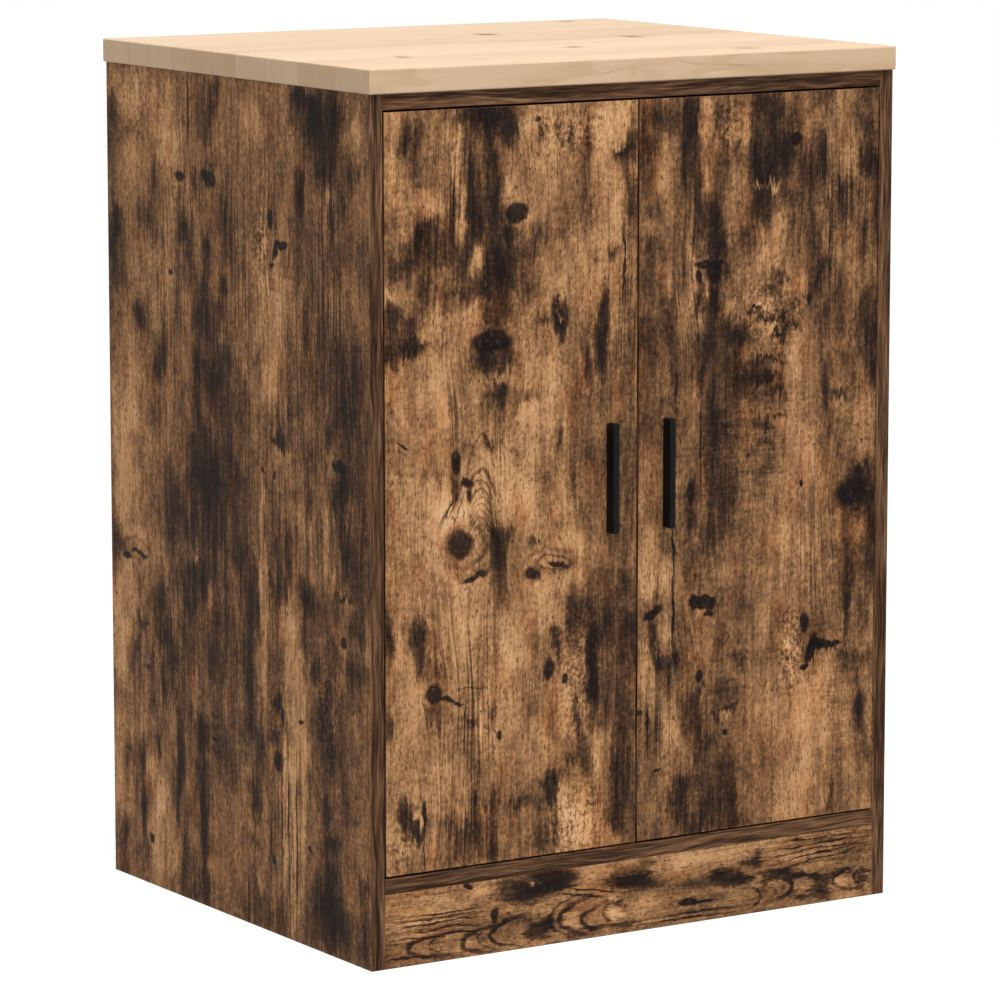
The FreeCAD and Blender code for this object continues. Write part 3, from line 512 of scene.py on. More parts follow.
rightDoorLook = {
    "axes": "XYZ", "outward": 1.0, "farPast": -0.2415, "middle": (0.14175, 0.448), "tone": 0.63, "wild": 0.12,
    "scorches": {
        1.2: [(208, 258, 9, 8)],
        1.0: [(278, 525, 6, 20), (52, 125, 13, 16)],
        0.95: [(135, 600, 12, 4), (140, 533, 14, 6), (70, 195, 5, 16)],
        0.9: [(60, 790, 9, 24), (148, 724, 10, 7), (73, 615, 5, 14), (150, 590, 8, 5), (165, 573, 10, 5),
            (75, 535, 4, 12), (65, 97, 10, 10), (268, 182, 5, 13), (232, 118, 4, 10)],
        0.85: [(215, 750, 4, 26), (274, 735, 10, 14)],
        0.8: [(155, 550, 14, 3), (150, 484, 10, 5), (272, 552, 10, 20), (238, 507, 8, 6), (270, 418, 16, 24),
            (280, 400, 6, 30), (253, 315, 6, 24), (19, 285, 4, 20), (74, 230, 4, 5), (228, 259, 14, 2.5)],
        0.75: [(140, 735, 12, 22), (165, 628, 12, 6), (10, 585, 12, 16), (272, 578, 12, 26), (86, 385, 10, 16)],
        0.7: [(85, 690, 9, 22), (90, 660, 14, 8), (180, 755, 6, 8), (219, 712, 3.5, 24, 6), (212, 640, 8, 24),
            (210, 618, 9, 12), (90, 615, 8, 14), (182, 577, 8, 5), (155, 530, 14, 5), (43, 560, 5, 30),
            (268, 432, 10, 6), (22, 335, 4, 20), (68, 225, 4, 24), (108, 213, 10, 3), (94, 200, 5, 5),
            (62, 140, 14, 10)],
        0.6: [(58, 760, 10, 30), (72, 705, 6, 20), (68, 680, 6, 24), (95, 670, 8, 16), (152, 755, 20, 48),
            (165, 745, 12, 24), (140, 700, 10, 14), (150, 690, 8, 18), (272, 800, 12, 10), (85, 588, 8, 26),
            (155, 617, 10, 6), (170, 588, 10, 6), (40, 588, 5, 40), (118, 573, 10, 8), (140, 545, 10, 8),
            (165, 518, 8, 6), (223, 510, 4, 16), (265, 390, 10, 8), (278, 380, 6, 20), (70, 165, 4, 24),
            (75, 105, 24, 15), (230, 100, 6, 10), (273, 335, 12, 30)],
        0.55: [(270, 765, 8, 16)],
        0.5: [(25, 790, 8, 14), (135, 770, 6, 30), (100, 640, 10, 12), (178, 605, 8, 10), (110, 583, 16, 11),
            (92, 540, 16, 40), (95, 450, 16, 40), (90, 420, 12, 40), (73, 565, 8, 20), (125, 530, 10, 14),
            (165, 497, 14, 2, -10), (62, 395, 6, 20), (24, 268, 6, 12), (46, 262, 3, 12), (115, 207, 4, 6),
            (100, 130, 16, 30), (115, 110, 14, 16), (100, 95, 30, 8), (250, 285, 3, 20), (268, 198, 6, 10),
            (18, 750, 16, 26), (108, 752, 14, 30), (262, 525, 16, 40), (273, 290, 10, 24)],
        0.45: [(60, 735, 12, 20), (5, 750, 6, 50), (150, 790, 14, 20), (202, 710, 8, 30), (12, 668, 12, 12),
            (250, 350, 8, 40), (35, 262, 12, 9), (85, 175, 12, 10), (218, 155, 4, 12), (12, 650, 20, 40),
            (98, 790, 20, 14)],
        0.4: [(170, 706, 13, 9), (210, 690, 8, 30), (205, 650, 12, 40), (265, 740, 8, 10), (236, 616, 9, 16),
            (238, 575, 4, 20), (85, 500, 10, 30), (101, 410, 12, 30), (116, 425, 10, 20), (150, 470, 12, 4),
            (130, 460, 8, 6), (63, 345, 6, 14), (10, 565, 10, 20), (228, 530, 8, 20), (95, 275, 12, 14),
            (82, 160, 20, 19), (85, 125, 20, 14), (272, 155, 8, 16), (38, 790, 20, 16), (128, 660, 14, 24),
            (223, 590, 24, 20), (93, 205, 16, 20), (272, 600, 10, 24), (178, 675, 20, 26), (184, 790, 14, 14),
            (252, 780, 20, 24), (6, 535, 10, 18), (54, 210, 12, 18)],
        0.35: [(190, 740, 20, 30), (207, 745, 10, 30), (280, 690, 6, 40), (240, 715, 12, 9), (106, 545, 14, 30),
            (100, 490, 16, 20), (150, 515, 20, 8), (10, 500, 14, 10), (110, 255, 20, 10), (260, 245, 20, 6),
            (280, 140, 5, 10), (22, 700, 20, 30), (215, 800, 24, 14), (250, 680, 24, 30), (48, 640, 12, 24),
            (66, 424, 12, 20), (193, 485, 10, 14)],
        0.3: [(12, 780, 12, 30), (190, 690, 8, 40), (115, 620, 14, 14), (30, 600, 10, 24), (110, 450, 12, 30),
            (58, 380, 8, 40), (18, 480, 14, 14), (245, 530, 6, 20), (248, 380, 8, 20), (35, 240, 6, 12),
            (62, 200, 4, 40), (105, 230, 20, 10), (245, 240, 8, 14), (180, 190, 3, 16), (20, 540, 30, 30),
            (62, 540, 12, 30), (82, 355, 20, 16), (4, 395, 10, 20)],
        0.25: [(145, 440, 20, 6), (184, 645, 14, 18)],
        0.2: [(230, 380, 4, 40), (160, 160, 14, 12)],
        0.15: [(135, 300, 40, 50)],
        -0.2: [(105, 775, 22, 22), (25, 540, 14, 22), (140, 130, 16, 20)],
        -0.25: [(265, 690, 10, 16), (205, 130, 30, 30), (174, 432, 16, 24)],
        -0.3: [(160, 682, 14, 22), (268, 455, 10, 14), (170, 375, 18, 20), (185, 540, 6, 40), (165, 220, 10, 24),
            (215, 170, 14, 20), (185, 95, 20, 8), (85, 282, 20, 14), (120, 105, 20, 16), (36, 200, 10, 30),
            (74, 350, 18, 16), (8, 335, 14, 24), (218, 125, 20, 24), (8, 672, 12, 24), (80, 585, 12, 18),
            (228, 246, 22, 14), (176, 275, 12, 14)],
        -0.35: [(240, 775, 14, 28), (245, 735, 10, 16), (30, 720, 12, 50), (150, 655, 24, 20), (200, 470, 10, 24),
            (165, 640, 40, 30), (210, 375, 18, 50), (16, 430, 14, 16)],
        -0.4: [(165, 488, 12, 8), (206, 440, 10, 20), (266, 500, 10, 26), (60, 520, 10, 24), (185, 235, 5, 8),
            (225, 220, 20, 16), (38, 288, 6, 14), (168, 360, 30, 60), (13, 680, 18, 16), (12, 225, 12, 26),
            (16, 345, 14, 20), (33, 290, 9, 24), (199, 172, 8, 40)],
        -0.45: [(163, 175, 26, 40)],
        -0.5: [(80, 725, 6, 14), (190, 120, 12, 20), (38, 190, 8, 24), (10, 270, 8, 30), (190, 205, 40, 40),
            (178, 445, 22, 34)],
        -0.6: [(77, 785, 8, 26), (62, 630, 3, 60), (15, 372, 14, 30), (33, 345, 7, 16), (105, 205, 8, 5),
            (198, 170, 6, 50)],
        -0.8: [(72, 590, 4, 12), (10, 345, 7, 12), (72, 307, 3, 4)],
        -0.9: [(190, 257, 4, 6)],
        -1.2: [(80, 615, 3, 8)],
        -1.3: [(155, 718, 8, 5), (143, 604, 10, 2.5), (177, 265, 3, 3)],
        -1.4: [(140, 716, 6, 4)],
        -1.8: [(157, 580, 4, 4)]},
    "knots": {
        1.0: [(256, 409, 19, 12)],
        0.9: [(184, 762, 7, 5), (88, 637, 9, 10), (266, 462, 1.8, 2), (194, 425, 1.8, 3.5), (68, 318, 5, 7),
            (77, 316, 9, 6), (85, 315, 7, 8), (76, 321, 13, 3), (198, 285, 5, 9), (205, 254, 6, 12, -26),
            (214, 262, 13, 5.5), (198, 240, 5, 2.5)],
        0.8: [(82, 646, 18, 4), (201, 606, 3, 6), (19, 311, 12, 5, 28), (73, 245, 5, 7), (228, 261, 15, 3)],
        0.7: [(70, 634, 5, 8), (41, 370, 1.5, 28), (43, 310, 1.5, 45), (83, 304, 7, 3), (25, 157, 4, 2)],
        0.6: [(61, 426, 6, 12), (104, 185, 3, 3), (3, 214, 4, 3)],
        0.5: [(45, 518, 1.3, 24), (12, 205, 1.3, 44)],
        0.4: [(73, 465, 1.2, 60), (224, 655, 1.2, 60)]},
    "rings": {
        0.9: [(175, 293, 3.5, 5)],
        0.4: [(256, 408, 22, 15)],
        0.35: [(77, 785, 11, 30)]},
    "bends": [(184, 760, 18, 36, 0.6), (82, 640, 30, 44, 0.7), (256, 410, 30, 44, 0.7), (62, 425, 16, 36, 0.6),
        (76, 314, 26, 36, 0.6), (206, 262, 26, 40, 0.6), (152, 740, 34, 70, 0.5)],
    "combed": {
        0.7: [(60, 620, 12, 70)],
        0.5: [(232, 690, 30, 60), (275, 690, 20, 40), (210, 360, 20, 60)],
        0.4: [(25, 230, 25, 70), (60, 300, 16, 40)]},
    "sawn": {
        0.5: [(145, 470, 40, 60)],
        0.4: [(225, 200, 40, 50)],
        0.3: [(90, 470, 24, 50), (160, 600, 40, 40), (120, 240, 40, 50)]},
    "pecked": {
        1.0: [(182, 255, 12, 34)],
        0.6: [(155, 595, 34, 28)],
        0.5: [(105, 775, 20, 24)]},
}

sidePanelLook = {
    "axes": "YXZ", "outward": 1.0, "farPast": -0.2915, "middle": (0.004, 0.412), "tone": 0.605, "wild": 0.12,
    "darker": 0.95, "paler": 1.9,
    "scorches": {
        1.0: [(193, 817, 4, 8), (70, 535, 12, 9), (-200, 458, 18, 12), (-33, 120, 9, 14)],
        0.95: [(-160, 800, 38, 22), (-130, 812, 20, 10), (150, 215, 6, 22), (70, 60, 7, 30)],
        0.9: [(-170, 770, 22, 24), (238, 670, 10, 14), (57, 655, 7, 8), (143, 550, 5, 20), (-195, 440, 14, 12),
            (-205, 350, 16, 3)],
        0.85: [(-205, 410, 14, 20), (-133, 330, 12, 16), (75, 172, 14, 16), (70, 20, 8, 20), (-25, 230, 10, 24),
            (-175, 60, 20, 40)],
        0.8: [(-185, 745, 14, 14), (42, 795, 10, 14), (-212, 380, 12, 20), (-102, 508, 4, 18), (205, 235, 5, 10),
            (118, 160, 8, 24), (-22, 270, 10, 30), (195, 75, 5, 30)],
        0.75: [(190, 578, 8, 15), (-185, 30, 26, 24)],
        0.7: [(-215, 750, 14, 22), (107, 675, 10, 14), (60, 520, 22, 20), (75, 500, 12, 20), (62, 475, 12, 16),
            (40, 430, 40, 30), (97, 425, 6, 8), (157, 525, 6, 12), (-90, 485, 16, 8), (-130, 298, 14, 14),
            (150, 260, 14, 10), (172, 190, 4, 10), (120, 125, 8, 24), (-75, 232, 12, 6), (240, 35, 14, 30)],
        0.65: [(-125, 725, 8, 18), (70, 330, 24, 20), (72, 95, 7, 20), (-165, 100, 12, 24)],
        0.6: [(-160, 740, 14, 14), (245, 780, 10, 16), (113, 735, 4, 10), (57, 625, 6, 24), (60, 600, 12, 20),
            (50, 585, 14, 20), (90, 300, 14, 12), (-78, 385, 9, 28), (-97, 370, 4, 34), (-125, 345, 10, 12),
            (195, 270, 12, 10), (162, 145, 4, 14), (125, 95, 8, 24), (80, 140, 14, 20), (-22, 195, 10, 14),
            (-25, 140, 8, 10), (-65, 195, 12, 5), (-165, 140, 12, 10), (-180, 110, 14, 10), (-150, 40, 10, 30),
            (-170, 200, 16, 20), (-150, 270, 10, 10), (140, 15, 10, 10)],
        0.55: [(70, 795, 10, 26), (70, 440, 24, 30), (60, 400, 44, 30), (45, 370, 40, 30), (-20, 330, 20, 30),
            (-25, 86, 14, 6)],
        0.5: [(-180, 700, 8, 16), (112, 700, 3, 20), (100, 665, 14, 10), (78, 720, 4, 14), (45, 735, 10, 6),
            (40, 815, 14, 10), (-135, 600, 6, 26), (50, 545, 30, 16), (100, 320, 30, 20), (20, 330, 12, 10),
            (-220, 440, 10, 30), (-75, 480, 12, 6), (-145, 340, 14, 14), (-30, 320, 12, 30), (70, 120, 8, 24),
            (-160, 230, 10, 20), (-170, 260, 14, 20), (-180, 290, 14, 14), (-235, 30, 10, 24), (-235, 75, 8, 12),
            (198, 130, 8, 20), (210, 90, 14, 20), (-215, 530, 30, 60), (-238, 370, 16, 40), (97, 25, 20, 30),
            (250, 345, 12, 30), (-78, 175, 10, 18)],
        0.45: [(25, 620, 12, 8), (85, 390, 16, 20), (-185, 180, 30, 60), (-80, 330, 7, 60)],
        0.4: [(-200, 720, 10, 18), (248, 700, 6, 20), (160, 720, 6, 20), (60, 770, 14, 20), (75, 590, 14, 40),
            (30, 600, 8, 10), (205, 580, 10, 10), (230, 610, 20, 14), (20, 460, 24, 30), (30, 300, 20, 20),
            (-10, 360, 20, 20), (150, 540, 10, 20), (-235, 420, 8, 30), (-110, 435, 11, 10), (-140, 430, 8, 10),
            (-65, 350, 6, 30), (-215, 320, 14, 14), (-190, 330, 12, 12), (-235, 320, 10, 14), (130, 230, 10, 30),
            (160, 290, 20, 14), (-40, 180, 10, 20), (-225, 280, 20, 14), (225, 60, 14, 14), (-120, 690, 16, 40),
            (25, 270, 30, 40), (-45, 15, 40, 20), (-88, 335, 12, 20), (-145, 475, 14, 20), (-35, 145, 14, 20),
            (-43, 560, 16, 18), (-145, 555, 24, 34), (-138, 190, 10, 18), (-155, 10, 24, 10), (107, 8, 24, 8)],
        0.35: [(-190, 590, 10, 30), (-5, 400, 14, 40), (215, 450, 14, 6), (240, 650, 20, 30), (250, 755, 14, 30),
            (125, 380, 25, 60), (15, 510, 40, 30), (127, 535, 14, 24), (155, 255, 34, 36), (107, 185, 16, 40),
            (67, 300, 14, 20), (248, 475, 12, 24), (-235, 470, 12, 60), (-118, 515, 14, 16), (-155, 385, 14, 24),
            (-185, 662, 16, 24), (217, 340, 14, 12)],
        0.3: [(-115, 790, 12, 14), (90, 640, 8, 24), (180, 680, 14, 24), (245, 640, 10, 14), (-165, 600, 10, 30),
            (-30, 430, 10, 30), (160, 480, 20, 20), (-175, 500, 10, 10), (110, 70, 8, 30), (-60, 270, 14, 30),
            (225, 130, 14, 10), (-20, 30, 20, 20), (50, 250, 16, 40), (90, 260, 20, 30), (30, 160, 25, 40),
            (-175, 712, 12, 40)],
        0.25: [(20, 700, 20, 40)],
        0.2: [(10, 750, 20, 30), (-150, 640, 20, 20), (20, 220, 30, 30), (-220, 560, 16, 60)],
        -0.15: [(-150, 390, 10, 40), (95, 735, 20, 30)],
        -0.2: [(-170, 700, 3, 24), (-25, 790, 30, 30), (25, 740, 20, 40), (-50, 765, 24, 40), (212, 800, 36, 22),
            (165, 335, 40, 20), (225, 85, 34, 40)],
        -0.25: [(200, 720, 24, 30), (-175, 735, 3, 24), (170, 640, 30, 20), (55, 315, 4, 16), (192, 610, 16, 18),
            (-113, 35, 16, 24)],
        -0.3: [(200, 800, 24, 24), (-80, 465, 12, 9), (-130, 190, 12, 14), (180, 60, 10, 20), (-38, 45, 4, 8),
            (215, 440, 30, 100), (95, 600, 10, 30), (128, 755, 24, 24), (190, 525, 26, 26), (-118, 415, 14, 40),
            (-53, 320, 10, 40), (248, 120, 12, 90), (208, 285, 16, 14), (-3, 45, 14, 20), (-124, 110, 5, 70)],
        -0.35: [(-75, 590, 14, 30), (230, 470, 20, 40), (127, 665, 20, 40), (-118, 262, 9, 40), (-88, 120, 4, 80),
            (-104, 90, 4, 90)],
        -0.4: [(-228, 785, 8, 20), (205, 355, 20, 9), (230, 400, 14, 40), (-170, 400, 4, 40), (-65, 540, 14, 24),
            (-125, 170, 6, 30), (-110, 110, 10, 30), (240, 240, 12, 40), (167, 795, 30, 30)],
        -0.45: [(83, 352, 6, 3), (165, 90, 16, 24), (-50, 320, 5, 110)],
        -0.5: [(-75, 630, 20, 14), (225, 308, 18, 20), (-55, 330, 6, 30), (-85, 310, 8, 24), (-90, 150, 3, 40),
            (180, 120, 8, 10), (-65, 590, 25, 60), (235, 260, 20, 40), (150, 35, 25, 40), (-104, 300, 6, 40)],
        -0.6: [(130, 745, 16, 16), (-48, 380, 4, 50), (-100, 300, 8, 20), (-95, 250, 5, 40), (150, 40, 18, 20)],
        -0.7: [(-115, 230, 14, 30), (-105, 180, 10, 30)],
        -0.8: [(-183, 358, 3, 18)],
        -1.1: [(-60, 668, 4, 6)]},
    "knots": {
        0.9: [(-68, 695, 5, 9), (-77, 664, 4, 10, 26), (-88, 671, 12, 4), (-70, 651, 5, 2.5), (-75, 172, 5, 11)],
        0.8: [(108, 722, 10, 5), (48, 722, 11, 8), (-195, 473, 15, 6), (225, 330, 9, 4), (-201, 306, 5, 6),
            (183, 222, 3, 3), (-120, 217, 5, 2.5), (-136, 96, 5, 2.5)],
        0.7: [(91, 790, 1.6, 36), (61, 727, 6, 5), (128, 626, 5, 3), (-50, 451, 4, 2.5), (190, 335, 8, 3),
            (-86, 219, 3.5, 9)],
        0.6: [(-73, 450, 3, 4), (204, 337, 13, 2.5, -6), (-68, 72, 3, 5), (178, 48, 5, 6)],
        0.45: [(-83, 140, 1.3, 60), (-96, 110, 1.4, 90), (-112, 90, 1.4, 80)],
        0.4: [(86, 705, 1.2, 50), (188, 30, 1.2, 20)]},
    "rings": {
        0.5: [(-73, 213, 14, 9), (206, 340, 28, 10)],
        0.4: [(-73, 213, 20, 14)]},
    "arcs": [(45, 193, -40.0, 14, 3.0, 0.6), (45, 182, -45.0, 14, 3.0, 0.7), (45, 170, -50.0, 13, 3.0, 0.7),
        (45, 158, -55.0, 11, 3.0, 0.5)],
    "bends": [(-77, 675, 24, 40, 0.6), (112, 723, 20, 36, 0.6), (48, 723, 24, 36, 0.6), (-195, 460, 34, 50, 0.7),
        (205, 332, 30, 36, 0.6), (-74, 200, 24, 50, 0.7)],
    "combed": {
        0.7: [(-95, 100, 34, 90)],
        0.6: [(-180, 715, 20, 40)],
        0.5: [(-80, 360, 26, 70), (-170, 600, 30, 60)],
        0.4: [(120, 620, 30, 50), (10, 650, 200, 150)],
        0.35: [(-120, 450, 100, 120)],
        0.3: [(110, 250, 120, 160)]},
    "sawn": {
        0.4: [(-70, 640, 34, 30)],
        0.3: [(-10, 160, 40, 50), (230, 150, 24, 60), (-230, 150, 20, 60)]},
    "pecked": {
        1.0: [(-48, 672, 12, 32)],
        0.4: [(-170, 240, 20, 50)],
        0.3: [(200, 790, 40, 30)]},
}

plinthLook = {
    "axes": "ZYX", "outward": 1.0, "farPast": -0.2415, "middle": (0.036, 0.0), "tone": 0.7, "wild": 0.0,
    "darker": 1.3, "paler": 1.3,
    "scorches": {
        1.1: [(40, 112, 8, 18), (37, 165, 5, 18), (16, 222, 9, 12)],
        1.0: [(60, -118, 12, 32), (36, 125, 7, 10), (33, 185, 4, 18, 12)],
        0.9: [(55, -8, 8, 20), (48, 0, 5, 20), (29, 205, 4, 14, 12)],
        0.85: [(62, -90, 9, 18), (16, -112, 8, 14)],
        0.8: [(52, 140, 5, 8), (24, 235, 5, 10), (18, 270, 5, 8)],
        0.7: [(48, -130, 6, 16), (66, -100, 6, 20), (10, -20, 3, 24), (46, 100, 5, 10), (28, 250, 3, 12),
            (22, 277, 6, 4)],
        0.6: [(22, -100, 5, 8), (12, -125, 5, 6), (60, 10, 9, 10), (7, 268, 3, 10), (8, 200, 4, 8)],
        0.5: [(45, 20, 4, 20), (28, -20, 4, 14), (12, -50, 2, 20), (58, 145, 6, 5)],
        0.4: [(30, -140, 4, 20), (38, 75, 5, 30)],
        0.3: [(30, 150, 8, 8)],
        -0.3: [(12, -188, 6, 12), (40, -265, 8, 14)],
        -0.35: [(62, 70, 9, 40)],
        -0.4: [(20, 247, 7, 6), (25, 15, 10, 24)],
        -0.6: [(20, -75, 7, 9), (62, -180, 6, 10), (18, 198, 9, 6)],
        -0.7: [(36, -27, 5, 6)],
        -0.9: [(22, -25, 6, 10)],
        -1.0: [(64, -112, 3, 3)],
        -1.4: [(64, -121, 3, 3)]},
    "knots": {
        0.9: [(22, 60, 4, 10)],
        0.8: [(37, -161, 7, 4), (20, 80, 2.4, 12), (69, -192, 3, 5, 35)],
        0.6: [(26, -220, 1.2, 60)],
        0.55: [(46, 225, 1.1, 56, -7)],
        0.5: [(38, -222, 1.0, 56), (46, -220, 1.0, 55), (8, -262, 1.6, 22), (61, 218, 1.0, 62, -2),
            (56, 215, 1.0, 62, -3), (51, 220, 1.0, 60, -5), (10, 70, 1.0, 60), (5, 60, 1.0, 60),
            (43, -60, 1.3, 34, 10), (47, -50, 1.3, 34, 10)],
        0.45: [(32, -225, 0.9, 60), (66, 215, 0.9, 62)],
        0.4: [(42, -225, 0.8, 60)]},
    "arcs": [(16, -260, -330.0, 15, 3.4, 1.5), (15, -199, -160.0, 16, 3.6, 1.5), (18, -166, -130.0, 18, 3.2, 1.5),
        (23, -87, -78.0, 24, 4.0, 1.5), (24, -100, -70.0, 26, 2.4, 1.0), (19, -62, -150.0, 14, 3.4, 1.5),
        (22, -40, -160.0, 12, 2.4, 0.9), (16, -235, -250.0, 15, 2.0, 0.8), (16, -182, -145.0, 17, 2.0, 0.8),
        (20, 188, 160.0, 15, 3.6, 1.5), (16, 150, 150.0, 14, 2.4, 1.0), (20, 238, -150.0, 13, 2.8, 1.1),
        (18, 168, 155.0, 14, 1.8, 0.6), (20, 262, -170.0, 10, 2.2, 0.9)],
    "bends": [(37, -161, 16, 26, 0.8), (40, 112, 20, 44, 0.6), (20, 222, 22, 36, 0.7)],
    "combed": {
        0.6: [(40, -225, 20, 60), (58, 215, 16, 70)],
        0.4: [(10, 60, 8, 70)]},
}
rightSideLook = {**sidePanelLook, "outward": -1.0, "upsideDown": True}
levelLook = {"axes": "YZX", "outward": 1.0, "farPast": 9.0, "middle": (0.0, 0.0), "tone": 0.58, "wild": 0.7}

boards = {
    "smokedOakLeftDoor": (leftDoorLook, ["left_door"]),
    "smokedOakRightDoor": (rightDoorLook, ["right_door"]),
    "smokedOakLeftSide": (sidePanelLook, ["left_side_panel"]),
    "smokedOakRightSide": (rightSideLook, ["right_side_panel"]),
    "smokedOakPlinth": (plinthLook, ["plinth_board"]),
    "smokedOakLevels": (levelLook, ["top_panel", "bottom_panel", "lower_shelf", "upper_shelf"]),
}
for finishName, (look, names) in boards.items():
    dress(boardFinish(finishName, look), *names)
print("boards dressed")


# edge-glued pine worktop: every stave is a piece of a round log of its own

worktopLook = {
    "staveEdges": [-190, -125, -62, -4, 42, 118, 165, 208], "luckStart": 3.7,
    "logAside": 0.24, "logStray": 0.08, "logBelow": -0.83, "logDepths": 0.10, "logLean": 0.05,
    "ringWidth": 0.0034, "wobble": ((0.25, 0.04, 0.04), 3), "wobbleWidth": 0.016, "knotBulge": 0.012,
    "fibre": ((0.03, 0.0007, 0.0007), 2), "broad": ((0.16, 0.03, 0.03), 2), "blush": ((0.09, 0.03, 0.03), 2),
    "woodTones": [(0.0, (192, 156, 118)), (0.4, (211, 181, 147)), (1.0, (227, 202, 172))],
    "blushTone": tone(224, 182, 150), "glueTone": tone(150, 118, 88), "knotTone": tone(150, 102, 66),
    "heartTone": tone(112, 70, 44), "endTone": tone(206, 198, 182), "endShare": 0.22, "specular": 0.25,
    "tone": 0.45, "fibreSwing": 0.35, "broadSwing": 0.35, "staveSwing": 0.30, "knotShare": 0.7,
    "lateRise": (0.15, 0.85), "lateFall": (1.0, 0.9), "lateShade": -0.20, "lateRough": -0.05, "lateHeight": 0.3,
    "blushLimits": (0.5, 0.75, 0.0, 0.45), "glueLimits": (0.0007, 0.0002, 0.0, 0.45), "glueDent": -1.5,
    "rough": 0.5, "fibreRough": 0.16, "reliefDepth": 0.0002, "reliefStrength": 0.4,
    "heartSize": 0.62, "heartShade": 0.8, "heartLevels": (0.75, 0.5),  # the hard middle of a knot
    "topKnots": {0.95: [(54, 106, 12, 15)], 0.55: [(-188, -128, 8, 15)], 0.5: [(26, -96, 16, 10)],
                 0.42: [(161, 2, 16, 24)], 0.26: [(159, -200, 22, 15)], 0.4: [(238, 238, 12, 13)]},
    "frontKnots": {0.35: [(105, 836, 34, 1.0, -4)], 0.25: [(95, 833, 30, 0.9, 3), (60, 839, 24, 0.9, -12)],
                   0.14: [(8, 832, 16, 8)], 0.16: [(-30, 836, 30, 1.0, 12)], 0.10: [(150, 832, 40, 6)]},
}


def makePine(look):
    takes = {"Vector": "Vector", "Knots": "Float", "Hearts": "Float"}
    tree, given, out = startGroup("pineStaves", takes, surfaceGives)
    vector = given["Vector"]
    x, y, z = split(vector)
    stave, joint = 0.0, 1.0
    for edge in look["staveEdges"]:
        stave = plus(calc("GREATER_THAN", y, edge / perMetre), stave)
        away = calc("ABSOLUTE", calc("SUBTRACT", y, edge / perMetre))
        joint = calc("MINIMUM", away, joint)
    luck = addNode("TexWhiteNoise", {"W": plus(stave, look["luckStart"])}, noise_dimensions="1D")
    one, two, three = split(luck.outputs["Color"])
    # growth rings round the middle of the log
    aside = plus(centred(calc("GREATER_THAN", one, 0.5), look["logAside"]),
                 centred(two, look["logStray"]))
    below = plus(centred(three, look["logDepths"]), look["logBelow"])
    wobble = centred(cloud(vector, *look["wobble"]), look["wobbleWidth"])
    lean = times(x, centred(two, look["logLean"]))
    py, pz = plus(y, aside, lean), plus(z, below)
    far = calc("SQRT", plus(times(py, py), times(pz, pz)))
    far = plus(far, wobble, times(given["Knots"], look["knotBulge"]))
    ring = calc("FRACT", calc("DIVIDE", far, look["ringWidth"]))
    late = times(rise(ring, *look["lateRise"]), rise(ring, *look["lateFall"]))
    fibre, broad = (cloud(vector, *look[name]) for name in ("fibre", "broad"))
    shade = plus(look["tone"], times(late, look["lateShade"]), centred(fibre, look["fibreSwing"]),
                 centred(broad, look["broadSwing"]), centred(one, look["staveSwing"]))
    wood = ramp(shade, look["woodTones"])
    blush = rise(cloud(vector, *look["blush"]), *look["blushLimits"])
    glue = rise(joint, *look["glueLimits"])
    least, byRing = look["heartLevels"]
    heart = times(given["Hearts"], plus(least, times(late, byRing)))
    knot = times(given["Knots"], look["knotShare"])
    for share, name in ((blush, "blushTone"), (glue, "glueTone"), (knot, "knotTone"), (heart, "heartTone")):
        wood = layer(share, wood, look[name])
    feed(out, {
        "Color": wood,
        "Roughness": plus(look["rough"], centred(fibre, look["fibreRough"]), times(late, look["lateRough"])),
        "Height": plus(fibre, times(glue, look["glueDent"]), times(late, look["lateHeight"]))})
    return tree


def pineFinish(name, look):
    finish, tree, skin = newFinish(name)
    place = objectPlace(tree)
    x, y, z = split(place["Object"])
    flat = addGroup(raggedGroup, {"Vector": joined(x, z, y)})["Firm"]
    normal = split(place["Normal"])
    onTop = rise(normal[2], *faceTurn)
    onFront = rise(normal[1], *(-turn for turn in faceTurn))
    size = look["heartSize"]
    middles = {look["heartShade"] * dark: [(a, b, size * wide, size * high) for a, b, wide, high in places]
               for dark, places in look["topKnots"].items()}
    hearts = times(markTotal(flat, middles, firmMark), onTop)
    knots = plus(times(markTotal(flat, look["topKnots"], softMark), onTop),
                 times(markTotal(place["Object"], look["frontKnots"], softMark), onFront))
    pine = addGroup(makePine(look), {"Vector": place["Object"], "Knots": knots, "Hearts": hearts})
    endGrain = rise(calc("ABSOLUTE", normal[0]), *faceTurn, 0.0, look["endShare"])
    feed(skin, {"Base Color": layer(endGrain, pine["Color"], look["endTone"], "MULTIPLY"),
                "Roughness": pine["Roughness"], "Specular IOR Level": look["specular"],
                "Normal": relief(pine["Height"], look["reliefDepth"], look["reliefStrength"])})
    return finish


dress(pineFinish("edgeGluedPine", worktopLook), "worktop")
print("worktop dressed")


# metal, fibreboard and dowel finishes

smudgeLook = {"grit": ((0.0006, 0.0006, 0.0006), 2), "draw": ((0.0004, 0.0004, 0.012), 2), "detail": 4.0,
              "broken": 0.6, "drawRough": 0.06, "reliefStrength": 0.4}


def makeSmudges(look):
    gives = {"Smudge": "Float", "Grit": "Float", "Draw": "Float"}
    tree, given, out = startGroup("handlingSmudges", {"Vector": "Vector", "Size": "Float"}, gives)
    scaled = addNode("VectorMath", {0: given["Vector"], 3: calc("DIVIDE", 1.0, given["Size"])},
                     operation="SCALE").outputs[0]
    smudge = addNode("TexNoise", {"Vector": scaled, "Scale": 1.0, "Detail": look["detail"],
                                  "Roughness": look["broken"]})
    feed(out, {"Smudge": smudge.outputs["Fac"], "Grit": cloud(given["Vector"], *look["grit"]),
               "Draw": cloud(given["Vector"], *look["draw"])})
    return tree


smudgeGroup = makeSmudges(smudgeLook)


